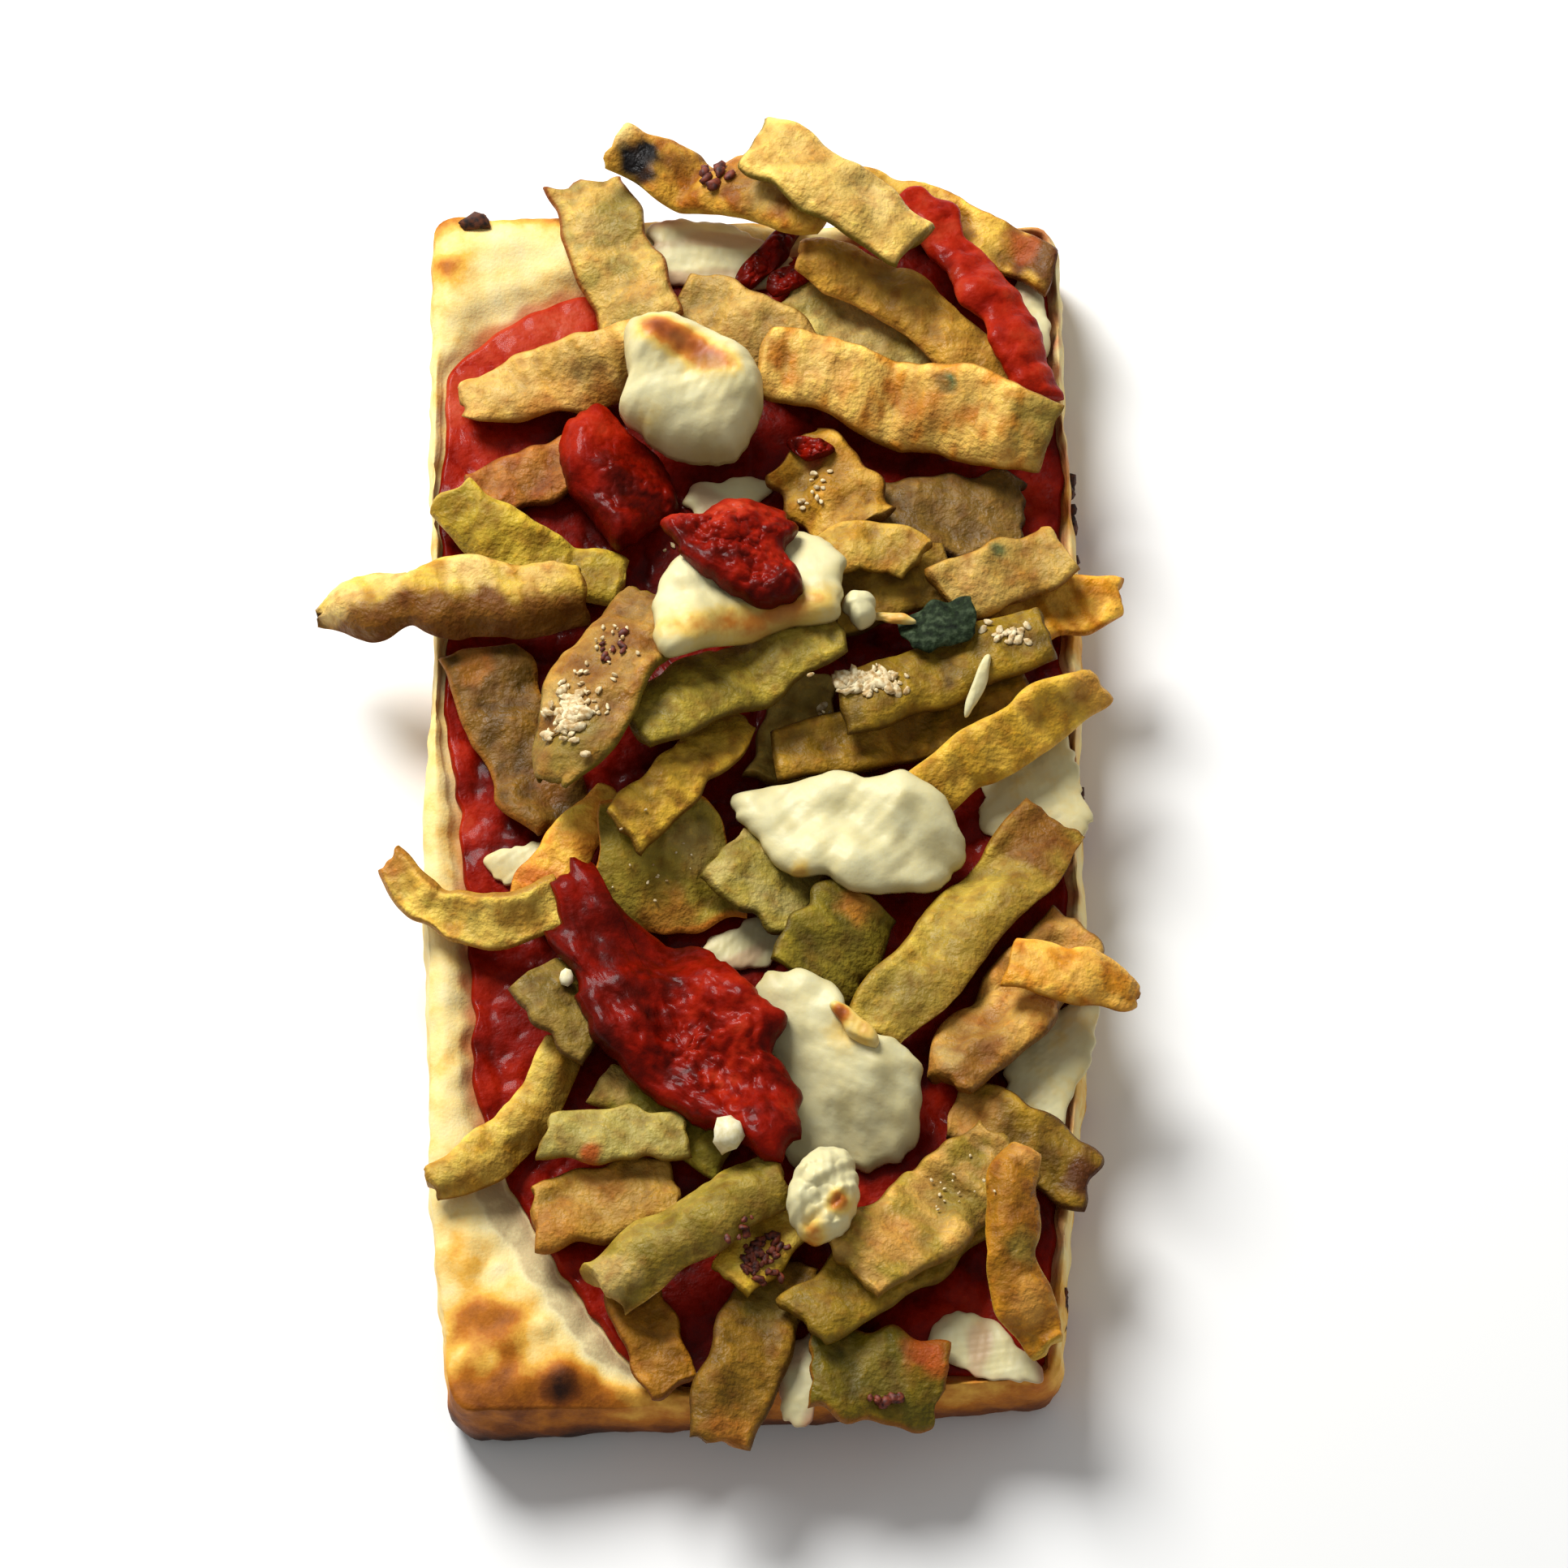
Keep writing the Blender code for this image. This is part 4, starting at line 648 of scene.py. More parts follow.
def lump_surface(piece, heap, rag, relief):
    """A soft lump as rings from under its middle out to its edge and back over the top: its underside sags
    onto the heap, and its top is a superellipse dome over that, with relief(x, y) in millimetres added where
    the dome is high. The first and last points are its poles. Also gives how high each point is on the dome."""
    shares, turns = (grid.ravel() for grid in np.meshgrid(np.linspace(0, 1, 16), np.arange(48) / 48))
    on = blob_places(piece, shares, turns)
    need = heap.under(*on.T) + GAP
    shares = np.concatenate([[0.0], LUMP_UNDER, LUMP_OVER, [0.0]])
    rises = np.concatenate([[0.0], 0 * LUMP_UNDER, (1 - LUMP_OVER**3) ** (1 / 3), [1.0]])
    share, turn = np.meshgrid(shares, np.arange(LUMP_AROUND) / LUMP_AROUND, indexing="ij")
    at = blob_places(piece, share.ravel(), turn.ravel(), rag)
    rise = np.repeat(rises, LUMP_AROUND)
    base = evened(at, on, need, (piece.bend_radius, piece.bend_radius))
    swell = 1 + 0.12 * ripple(*at.T, 14, seed_of(piece.name)) * eased(rise, 0.3, 0.7)
    z = base + piece.height * rise * swell + relief(*at.T) * eased(rise, 0.25, 0.85)
    points = np.column_stack([at, z])
    keep = np.concatenate([[0], np.arange(LUMP_AROUND, len(points) - LUMP_AROUND), [len(points) - 1]])
    return points[keep], rise[keep]


LUMP_FACES = pole_to_pole(len(LUMP_UNDER) + len(LUMP_OVER), LUMP_AROUND)


# Slab and sauce

def left_and_right(y):
    """Where the slice's two long sides are at a place along it."""
    rows = np.array(SIDES)
    return np.interp(y, rows[:, 0], rows[:, 1]), np.interp(y, rows[:, 0], rows[:, 2])


def near_and_far(x):
    """Where the slice's two short ends are at a place across it."""
    corners = (SIDES[0][1], SIDES[0][2])
    return np.interp(x, corners, NEAR_END), np.interp(x, corners, FAR_END)


def slab_outline(count):
    """Points spaced evenly along a rectangle with round corners, anticlockwise from the middle of its right
    side, then bent to the slice's own sides and ends, with a slight wander in and out."""
    half = np.array([50.0, 100.0])
    flat = half - CORNER_RADIUS
    arc = np.pi / 2 * CORNER_RADIUS
    lengths = [flat[1], arc, 2 * flat[0], arc, 2 * flat[1], arc, 2 * flat[0], arc, flat[1]]
    stops = np.concatenate([[0], np.cumsum(lengths)])
    distance = np.arange(count) / count * stops[-1]
    part = np.searchsorted(stops, distance, side="right") - 1
    past = distance - stops[part]
    side, turning = part // 2, part % 2 == 1
    centres = flat * np.array([(1, 1), (-1, 1), (-1, -1), (1, -1), (1, 1)])
    starts = np.array([(half[0], 0), (flat[0], half[1]), (-half[0], flat[1]), (-flat[0], -half[1]),
                       (half[0], -flat[1])])
    angle = side * np.pi / 2 + past / CORNER_RADIUS
    corner = centres[side] + CORNER_RADIUS * np.stack([np.cos(angle), np.sin(angle)], axis=1)
    ahead = np.stack([-np.sin(side * np.pi / 2), np.cos(side * np.pi / 2)], axis=1)
    straight = starts[side] + past[:, None] * ahead
    u, v = (np.where(turning[:, None], corner, straight) / half).T
    wander = 1 + OUTLINE_WANDER / half[0] * ripple(u * half[0], v * half[1], 46, 3)
    near, far = near_and_far(u * half[0])
    y = near + (far - near) * (v + 1) / 2
    left, right = left_and_right(y)
    return np.column_stack([(left + (right - left) * (u + 1) / 2) * wander, y])


def sauce_field(x, y):
    """How far a place is inside the sauce's edge: the least distance to the four rims and to the slanting
    edges of the bare corners, with a wander."""
    left, right = left_and_right(y)
    near, far = near_and_far(x)
    inside = np.minimum(x - left - np.interp(y, *np.transpose(LEFT_RIM)), right - RIGHT_RIM - x)
    inside = np.minimum(inside, np.minimum(y - near - NEAR_RIM, far - FAR_RIM - y))
    for (at_x, at_y), (to_x, to_y) in BARE_CORNERS:
        across = (at_x - x) * to_x + (at_y - y) * to_y
        share = np.clip(0.5 + (across - inside) / 12, 0, 1)
        inside = across + (inside - across) * share - 6 * share * (1 - share)
    return inside + SAUCE_WANDER * ripple(x, y, 24, 8) + 0.35 * ripple(x, y, 9, 10) + 0.25 * ripple(x, y, 4.5, 9)


def sauce_outline(outline):
    """The sauce's edge on the line from the slab's middle to each outline point, found by halving."""
    near, far = np.zeros(len(outline)), np.ones(len(outline))
    for _ in range(24):
        middle = (near + far) / 2
        inside = sauce_field(*(outline * middle[:, None]).T) > 0
        near, far = np.where(inside, middle, near), np.where(inside, far, middle)
    return outline * near[:, None]


def flowing(rings, count):
    """Rings between the given ones, on a smooth curve from ring to ring: each span is a cubic whose slopes are
    half the step between its neighbours."""
    rings = np.asarray(rings)
    place = np.linspace(0, len(rings) - 1, count)
    span = np.minimum(place.astype(int), len(rings) - 2)
    u = (place - span)[:, None, None]
    slopes = np.gradient(rings, axis=0)
    start, end, out, into = rings[span], rings[span + 1], slopes[span], slopes[span + 1]
    return ((2 * u**3 - 3 * u**2 + 1) * start + (u**3 - 2 * u**2 + u) * out + (3 * u**2 - 2 * u**3) * end
            + (u**3 - u**2) * into)


def crust_surface(outline, edge):
    """The baked slab as rings: from the middle of its flat underside out over a rounded side, up to the rim's
    crest, and down to the floor under the sauce. The rim is as wide as the sauce leaves it, and higher where
    it is wide. Blisters and a rough skin then move it along its normals. The first and last points are its
    poles."""
    width = np.linalg.norm(outline - edge, axis=1)
    inward = (edge - outline) / width[:, None]
    relief = RIM_RELIEF * ripple(*outline.T, 21, 5)

    def ring(inset, height):
        plan = outline + inward * np.broadcast_to(inset, width.shape)[:, None]
        return np.column_stack([plan, np.broadcast_to(height, width.shape)])

    crest = RIM_HEIGHT + CORNER_RISE * np.clip((width - 4) / 10, 0, 1) + relief
    side = flowing([ring(3.2, 0.0), ring(0.9, 1.6), ring(0.0, 6.5), ring(0.25, 10.8), ring(0.7, crest - 1.3)], 30)
    top = flowing([ring(0.7, crest - 1.3), ring(0.34 * width + 0.5, crest), ring(0.72 * width + 0.2, crest - 0.7),
                   ring(width + 0.2, FLOOR_HEIGHT + SAUCE_CLIMB), ring(width + 4.0, FLOOR_HEIGHT)], 40)[1:]
    skin = np.concatenate([side, top])
    x, y, z = np.moveaxis(skin, -1, 0)
    swell = 0.28 * ripple(x + 0.7 * z, y + 0.6 * z, 9, 21) + 0.12 * ripple(x + 0.7 * z, y + 0.6 * z, 4, 22)
    for at_x, at_y, radius, height in BLISTERS:
        away = ((x - at_x) ** 2 + (y - at_y) ** 2) / radius**2
        swell += height * np.clip(1 - away, 0, 1) ** 1.5 * eased(z, 9, 12)
    rows = np.arange(len(skin))[:, None]
    swell = swell * eased(rows, 0, 7) * eased(len(skin) - 1 - rows, 0, 6)
    skin = skin + outward(skin) * swell[..., None]
    below = np.array([skin[0] * (share, share, 0) for share in (0.1, 0.4, 0.7, 0.9, 0.98)])
    floor = np.array([skin[-1] * (share, share, 1) for share in (0.96, 0.6, 0.2)])
    rings = np.concatenate([below, skin, floor])
    points = np.concatenate([[(0, 0, 0)], rings.reshape(-1, 3), [(0, 0, FLOOR_HEIGHT)]])
    return points, len(rings)


def sauce_surface(edge):
    """The sauce on the floor as rings: flat below, thin and turned up at its edge, and lumpy on top, in rings
    that shrink to the middle. The first and last points are its poles. Also gives how raised each point is."""
    inset = edge * (1 - 0.6 / np.linalg.norm(edge, axis=1))[:, None]
    turn = np.linspace(0, np.pi / 2, 8)
    shares = np.concatenate([(0.3, 0.7, 0.93), 0.985 + 0.015 * np.cos(turn), np.linspace(0.977, 0.02, 108)])
    rises = np.concatenate([(0, 0, 0), np.sin(turn), np.ones(108)])[:, None]
    x, y = np.moveaxis(inset[None] * shares[:, None, None], -1, 0)
    inside = sauce_field(x, y)
    base = FLOOR_HEIGHT + GAP + 0.05 + SAUCE_CLIMB * (1 - eased(inside, 0.3, 4.6))
    pulp = knobs(x, y, 4.4, 12) - 0.5 + 0.4 * knobs(x, y, 1.9, 13)
    lumps = SAUCE_RELIEF * ripple(x, y, 17, 11) + 0.45 * pulp
    z = base + rises * (1.0 + (SAUCE_THICKNESS - 1.0) * eased(inside, 0.3, 4.6) + eased(rises, 0.5, 1) * lumps)
    rings = np.stack([x, y, z], axis=-1)
    points = np.concatenate([[(0, 0, base.min())], rings.reshape(-1, 3), [rings[-1].mean(axis=0)]])
    return points, len(rings), np.concatenate([[0], pulp.ravel(), [0]])


# Crumbs and drops

def crumb_points(places, seed, turn=None):
    """Small uneven lumps: a globe of 6 rings of 8 points, dented by three seeded waves, stretched, turned and
    set down at each place, which gives x, y, z, radius, stretch and flatness."""
    draw = np.random.default_rng(seed)
    places = np.asarray(places, float)
    polar, around = np.meshgrid(np.linspace(0, np.pi, 8)[1:-1], np.linspace(0, 2 * np.pi, 8, endpoint=False),
                                indexing="ij")
    ball = np.stack([np.sin(polar) * np.cos(around), np.sin(polar) * np.sin(around), -np.cos(polar)], axis=-1)
    ball = np.concatenate([[(0, 0, -1)], ball.reshape(-1, 3), [(0, 0, 1)]])
    waves, phases = draw.normal(0, 2.2, (len(places), 3, 3)), draw.uniform(0, 6.28, (len(places), 3))
    dent = 1 + 0.17 * np.sin(np.einsum("pc,nwc->npw", ball, waves) + phases[:, None]).sum(axis=2)
    turn = draw.uniform(0, np.pi, len(places)) if turn is None else np.full(len(places), turn)
    size, stretch, flat = places[:, 3], places[:, 4], places[:, 5]
    x = ball[:, 0] * dent * (size * stretch)[:, None]
    y = ball[:, 1] * dent * size[:, None]
    z = ball[:, 2] * dent * (size * flat)[:, None]
    c, s = np.cos(turn)[:, None], np.sin(turn)[:, None]
    points = np.stack([x * c - y * s, x * s + y * c, z], axis=-1) + places[:, None, :3]
    return points


def crumb_faces(count):
    """The faces of that many globes."""
    quads, triangles = pole_to_pole(6, 8)
    starts = (np.arange(count) * 50)[:, None, None]
    return (quads + starts).reshape(-1, 4), (triangles + starts).reshape(-1, 3)


# Finishes

def linear(colour):
    """An sRGB hex colour as linear red, green and blue."""
    srgb = np.array([int(colour[k:k + 2], 16) / 255 for k in (0, 2, 4)])
    return np.where(srgb > 0.04045, ((srgb + 0.055) / 1.055) ** 2.4, srgb / 12.92)


def add_node(tree, kind, inputs=(), stops=(), **settings):
    """Adds a node of that kind with its settings. An input takes a value or another node's output, and stops
    are a ramp's places and hex colours."""
    made = tree.nodes.new(kind)
    for name, value in settings.items():
        setattr(made, name, value)
    for name, value in dict(inputs).items():
        if isinstance(value, bpy.types.NodeSocket):
            tree.links.new(value, made.inputs[name])
        else:
            made.inputs[name].default_value = value
    if stops:
        marks = made.color_ramp.elements
        while len(marks) < len(stops):
            marks.new(1.0)
        for mark, (place, colour) in zip(marks, stops):
            mark.position, mark.color = place, (*linear(colour), 1.0)
    return made


def begun(name, **shader):
    """A new material with its node tree, its shader with those values, and the surface's own coordinates."""
    made = bpy.data.materials.new(name)
    made.use_nodes = True
    tree = made.node_tree
    principled = tree.nodes["Principled BSDF"]
    for socket, value in shader.items():
        principled.inputs[socket.replace("_", " ")].default_value = value
    coordinates = add_node(tree, "ShaderNodeTexCoord").outputs["Object"]
    return made, tree, principled, coordinates


def baked_dough():
    """Wheat dough baked in an oiled tin: a dry, matt skin, cream where it stayed thin and pale, golden to dark
    brown where it touched the tin or blistered. The bake field says how far each place has browned, and the
    stain field where orange oil and sauce soaked in."""
    made, tree, shader, where = begun("oven_baked_wheat_dough", Roughness=0.62, IOR=1.45, Subsurface_Weight=0.08,
                                      Specular_IOR_Level=0.25)
    shader.inputs["Subsurface Radius"].default_value = (0.003, 0.0015, 0.0007)
    bake = add_node(tree, "ShaderNodeAttribute", attribute_name="bake").outputs["Fac"]
    stain = add_node(tree, "ShaderNodeAttribute", attribute_name="stain").outputs["Fac"]
    # Browning is uneven over about 3 mm, the size of the small bubbles in the skin, and speckled at 0.8 mm.
    cloud = add_node(tree, "ShaderNodeTexNoise", {"Vector": where, "Scale": 330.0, "Detail": 4.0})
    speckle = add_node(tree, "ShaderNodeTexNoise", {"Vector": where, "Scale": 1250.0, "Detail": 2.0})
    first = add_node(tree, "ShaderNodeMath", {0: cloud.outputs["Fac"], 1: 0.30, 2: -0.15}, operation="MULTIPLY_ADD")
    second = add_node(tree, "ShaderNodeMath", {0: speckle.outputs["Fac"], 1: 0.10, 2: -0.05},
                      operation="MULTIPLY_ADD")
    uneven = add_node(tree, "ShaderNodeMath", {0: first.outputs[0], 1: second.outputs[0]})
    level = add_node(tree, "ShaderNodeMath", {0: bake, 1: uneven.outputs[0]})
    colour = add_node(tree, "ShaderNodeValToRGB", {"Fac": level.outputs[0]}, stops=(
        (0.0, "c8b484"), (0.10, "eadaa2"), (0.24, "f0d488"), (0.38, "e6ae44"), (0.55, "b86c14"), (0.74, "743a06"),
        (0.95, "2c1204")))
    soaked = add_node(tree, "ShaderNodeMix", {"Factor": stain, "A": colour.outputs["Color"],
                                             "B": (*linear("b0401a"), 1.0)}, data_type="RGBA")
    # Flour grain and pin blisters, about 0.5 mm.
    grain = add_node(tree, "ShaderNodeTexNoise", {"Vector": where, "Scale": 1900.0, "Detail": 3.0})
    bump = add_node(tree, "ShaderNodeBump", {"Height": grain.outputs["Fac"], "Distance": 0.0002, "Strength": 0.5})
    tree.links.new(soaked.outputs["Result"], shader.inputs["Base Color"])
    tree.links.new(bump.outputs["Normal"], shader.inputs["Normal"])
    return made


def cooked_sauce():
    """Crushed tomato cooked down on the pizza: moist with small glints. The field it reads runs from nearly black
    maroon, a painted shade for the gaps where it lies in shade, through bright red on its grains, partly painted
    light, to pinkish where it dried thin and where it is lit, a painted light."""
    made, tree, shader, where = begun("cooked_crushed_tomato", Roughness=0.42, IOR=1.38, Coat_Weight=0.07,
                                      Coat_Roughness=0.10, Subsurface_Weight=0.05, Specular_IOR_Level=0.08)
    shader.inputs["Subsurface Radius"].default_value = (0.002, 0.0004, 0.0002)
    # This field carries painted shade at its low end and painted light at its high end.
    raised = add_node(tree, "ShaderNodeAttribute", attribute_name="raised").outputs["Fac"]
    # Tomato pulp is grainy at about 1 mm.
    pulp = add_node(tree, "ShaderNodeTexNoise", {"Vector": where, "Scale": 800.0, "Detail": 4.0})
    uneven = add_node(tree, "ShaderNodeMath", {0: pulp.outputs["Fac"], 1: 0.34, 2: -0.17}, operation="MULTIPLY_ADD")
    level = add_node(tree, "ShaderNodeMath", {0: raised, 1: uneven.outputs[0]})
    colour = add_node(tree, "ShaderNodeValToRGB", {"Fac": level.outputs[0]}, stops=(
        (0.0, "380500"), (0.2, "580800"), (0.4, "7e0e00"), (0.6, "a02008"), (0.8, "b23a1e"), (1.0, "be5a40")))
    gloss = add_node(tree, "ShaderNodeMapRange", {"Value": pulp.outputs["Fac"], "From Min": 0.35, "From Max": 0.65,
                                                 "To Min": 0.3, "To Max": 0.6})
    grain = add_node(tree, "ShaderNodeTexNoise", {"Vector": where, "Scale": 1300.0, "Detail": 3.0})
    bump = add_node(tree, "ShaderNodeBump", {"Height": grain.outputs["Fac"], "Distance": 0.0003, "Strength": 0.5})
    tree.links.new(colour.outputs["Color"], shader.inputs["Base Color"])
    tree.links.new(gloss.outputs["Result"], shader.inputs["Roughness"])
    tree.links.new(bump.outputs["Normal"], shader.inputs["Normal"])
    return made


def fried_aubergine():
    """Aubergine cut in strips and fried in oil: soft flesh that turned tan to olive and slightly see-through,
    browned at its cut edges, with a faint oily sheen. The tone field gives each strip its own colour."""
    made, tree, shader, where = begun("oil_fried_aubergine", Roughness=0.5, IOR=1.42, Subsurface_Weight=0.05,
                                      Specular_IOR_Level=0.25)
    shader.inputs["Subsurface Radius"].default_value = (0.0016, 0.0009, 0.0003)
    tone = add_node(tree, "ShaderNodeAttribute", attribute_name="tone").outputs["Color"]
    # The spongy flesh is blotched over 2.5 mm and speckled by its cells at 0.9 mm, coarser than real so that
    # it shows.
    blotch = add_node(tree, "ShaderNodeTexNoise", {"Vector": where, "Scale": 400.0, "Detail": 3.0})
    cells = add_node(tree, "ShaderNodeTexNoise", {"Vector": where, "Scale": 1100.0, "Detail": 2.0})
    brown = add_node(tree, "ShaderNodeMapRange", {"Value": blotch.outputs["Fac"], "From Min": 0.46,
                                                 "From Max": 0.72, "To Min": 0.0, "To Max": 0.5})
    pale = add_node(tree, "ShaderNodeMapRange", {"Value": cells.outputs["Fac"], "From Min": 0.54,
                                                "From Max": 0.72, "To Min": 0.0, "To Max": 0.3})
    # Both act on the tone by ratio, so a charred place stays black.
    darker = add_node(tree, "ShaderNodeMix", {"Factor": brown.outputs["Result"], "A": tone,
                                             "B": (*linear("b87838"), 1.0)}, data_type="RGBA",
                      blend_type="MULTIPLY")
    lighter = add_node(tree, "ShaderNodeMix", {"Factor": pale.outputs["Result"], "A": darker.outputs["Result"],
                                              "B": (*linear("f8e8b8"), 1.0)}, data_type="RGBA",
                       blend_type="OVERLAY")
    oil = add_node(tree, "ShaderNodeMapRange", {"Value": blotch.outputs["Fac"], "From Min": 0.3, "From Max": 0.7,
                                               "To Min": 0.4, "To Max": 0.7})
    bump = add_node(tree, "ShaderNodeBump", {"Height": cells.outputs["Fac"], "Distance": 0.0005, "Strength": 0.8})
    tree.links.new(lighter.outputs["Result"], shader.inputs["Base Color"])
    tree.links.new(oil.outputs["Result"], shader.inputs["Roughness"])
    tree.links.new(bump.outputs["Normal"], shader.inputs["Normal"])
    return made


def melted_mozzarella():
    """Cow's milk mozzarella melted in the oven: creamy white and soft, faintly olive where whey shows through and,
    as a painted shade, low on the sides of each lump, yellow to brown where its fat browned. The bake field says
    how far, the whey field how olive it is from whey and painted shade, and stain where sauce tinted it pink."""
    made, tree, shader, where = begun("oven_melted_mozzarella", Roughness=0.42, IOR=1.42, Subsurface_Weight=0.15,
                                      Specular_IOR_Level=0.3)
    shader.inputs["Subsurface Radius"].default_value = (0.003, 0.0024, 0.0012)
    bake = add_node(tree, "ShaderNodeAttribute", attribute_name="bake").outputs["Fac"]
    whey = add_node(tree, "ShaderNodeAttribute", attribute_name="whey").outputs["Fac"]
    stain = add_node(tree, "ShaderNodeAttribute", attribute_name="stain").outputs["Fac"]
    # Browning breaks up over about 1.5 mm at the edges of a spot.
    cloud = add_node(tree, "ShaderNodeTexNoise", {"Vector": where, "Scale": 600.0, "Detail": 4.0})
    uneven = add_node(tree, "ShaderNodeMath", {0: cloud.outputs["Fac"], 1: 0.3, 2: -0.15}, operation="MULTIPLY_ADD")
    level = add_node(tree, "ShaderNodeMath", {0: bake, 1: uneven.outputs[0]})
    colour = add_node(tree, "ShaderNodeValToRGB", {"Fac": level.outputs[0]}, stops=(
        (0.0, "d8d1a4"), (0.16, "ddd19c"), (0.36, "e2bf62"), (0.54, "c67c2a"), (0.75, "a2541c"), (1.0, "6a2c10")))
    olive_from_whey_and_painted_shade = add_node(tree, "ShaderNodeMix", {"Factor": whey, "A": colour.outputs["Color"],
                                          "B": (*linear("a08f50"), 1.0)}, data_type="RGBA")
    tinted = add_node(tree, "ShaderNodeMix", {"Factor": stain, "A": olive_from_whey_and_painted_shade.outputs["Result"],
                                             "B": (*linear("a85e48"), 1.0)}, data_type="RGBA")
    bump = add_node(tree, "ShaderNodeBump", {"Height": cloud.outputs["Fac"], "Distance": 0.0003, "Strength": 0.35})
    tree.links.new(tinted.outputs["Result"], shader.inputs["Base Color"])
    tree.links.new(bump.outputs["Normal"], shader.inputs["Normal"])
    return made


def dried_herb():
    """Leaf dried on the pizza: matt, dark grey-green, lighter on its wrinkles."""
    made, tree, shader, where = begun("dried_herb_leaf", Roughness=0.7, IOR=1.45, Specular_IOR_Level=0.12)
    # Wrinkles and veins about 1 mm apart.
    veins = add_node(tree, "ShaderNodeTexNoise", {"Vector": where, "Scale": 800.0, "Detail": 4.0})
    colour = add_node(tree, "ShaderNodeValToRGB", {"Fac": veins.outputs["Fac"]}, stops=(
        (0.3, "0a1007"), (0.5, "202c18"), (0.7, "46523a")))
    bump = add_node(tree, "ShaderNodeBump", {"Height": veins.outputs["Fac"], "Distance": 0.0006, "Strength": 0.8})
    tree.links.new(colour.outputs["Color"], shader.inputs["Base Color"])
    tree.links.new(bump.outputs["Normal"], shader.inputs["Normal"])
    return made


def crumb_finish(name, dark, light, roughness):
    """A crumb's finish: two tones over about 0.8 mm, matt or moist as its roughness says."""
    made, tree, shader, where = begun(name, Roughness=roughness, IOR=1.45)
    cloud = add_node(tree, "ShaderNodeTexNoise", {"Vector": where, "Scale": 1200.0, "Detail": 3.0})
    colour = add_node(tree, "ShaderNodeValToRGB", {"Fac": cloud.outputs["Fac"]}, stops=((0.35, dark), (0.65, light)))
    tree.links.new(colour.outputs["Color"], shader.inputs["Base Color"])
    return made


# Making the pieces

def shown(name, points, faces, finish, slot, tone=None, **fields):
    """A named piece of that mesh, in metres, riding on the slice, with its tone and fields on its points. It
    stands for the node of its name, if there is one."""
    mesh = bpy.data.meshes.new(name)
    mesh.from_pydata((points * MM).tolist(), [], [*faces[0].tolist(), *faces[1].tolist()])
    mesh.shade_smooth()
    if tone is not None:
        colour = np.column_stack([tone, np.ones(len(tone))]).astype(np.float32)
        mesh.attributes.new("tone", "FLOAT_COLOR", "POINT").data.foreach_set("color", colour.ravel())
    for field, values in fields.items():
        values = np.ascontiguousarray(values, np.float32).ravel()
        mesh.attributes.new(field, "FLOAT", "POINT").data.foreach_set("value", values)
    mesh.materials.append(finish)
    made = bpy.data.objects.new(name + "_fine", mesh)
    bpy.context.scene.collection.objects.link(made)
    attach(made, "root")
    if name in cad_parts:
        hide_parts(name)
    return made


DOUGH, SAUCE, FRY, CHEESE, HERB = baked_dough(), cooked_sauce(), fried_aubergine(), melted_mozzarella(), dried_herb()


def crust(outline, edge):
    """The baked slab, paler on its long sides, browned at its near end and in its near left corner, raw and
    cream in a band beside the sauce there, and stained orange where the sauce meets it elsewhere."""
    points, rows = crust_surface(outline, edge)
    x, y, z = points.T
    bake = 0.21 + 0.05 * ripple(x, y, 14, 31) + 0.04 * ripple(x + z, y + z, 6, 32)
    bake += 0.07 * eased(ripple(x, y, 11, 33), 0.2, 0.9) * eased(-x, 40, 48)
    bake += 0.16 * eased(-z, -11, -2)
    near = eased(-y, 92, 100.5)
    bake += near * (0.32 + 0.16 * eased(-z, -12, -2)) + 0.06 * eased(-y, 97, 101)
    corner = near_to(x, y, -39, -90, 13)
    bake += corner * (0.12 + 0.12 * ripple(x, y, 6, 34))
    outside = -sauce_field(x, y)
    front = eased(-y, 56, 66)
    band = eased(outside, -0.5, 0.5) * (1 - eased(outside, 2.5, 6.5)) * front * eased(-x, 4, 12)
    band = band * (1 - 0.6 * near)
    bake -= 0.34 * band
    bake += 0.22 * eased(y, 100, 103) + 0.08 * eased(-x, 49, 53) * eased(y, 70, 90)
    bake += marked(x, y, BAKED_SPOTS)
    bake = np.where(z < 0.5, 0.52 + 0.12 * ripple(x, y, 16, 35), bake)
    stain = 1 - eased(outside + 0.8 * ripple(x, y, 5, 36), -0.2, 2.0)
    stain = stain * (0.75 - 0.6 * np.maximum(front * eased(-x, 4, 12), eased(-x, 44, 48))) * eased(z, 11, 12.5)
    faces = pole_to_pole(rows, OUTLINE_POINTS)
    shown("crust", points, faces, DOUGH, "baked_dough", bake=np.clip(bake, 0, 1), stain=np.clip(stain, 0, 1))
    return points, faces[0]


def sauce(edge):
    """The sauce on the floor: dark maroon over most of it, a painted shade for the gaps between the toppings, and
    brighter on its grains and where it is thin, dried and lit, partly painted light.
    """
    points, rows, raised = sauce_surface(edge)
    x, y = points[:, 0], points[:, 1]
    # Painted shade: the low base level. Painted light: brighter on the grains and at the lit places of SAUCE_BRIGHT.
    level = 0.20 + 0.14 * raised + 0.08 * ripple(x, y, 12, 14) + marked(x, y, SAUCE_BRIGHT)
    faces = pole_to_pole(rows, OUTLINE_POINTS)
    shown("tomato_sauce", points, faces, SAUCE, "tomato_sauce", raised=level)
    return points, faces[0]


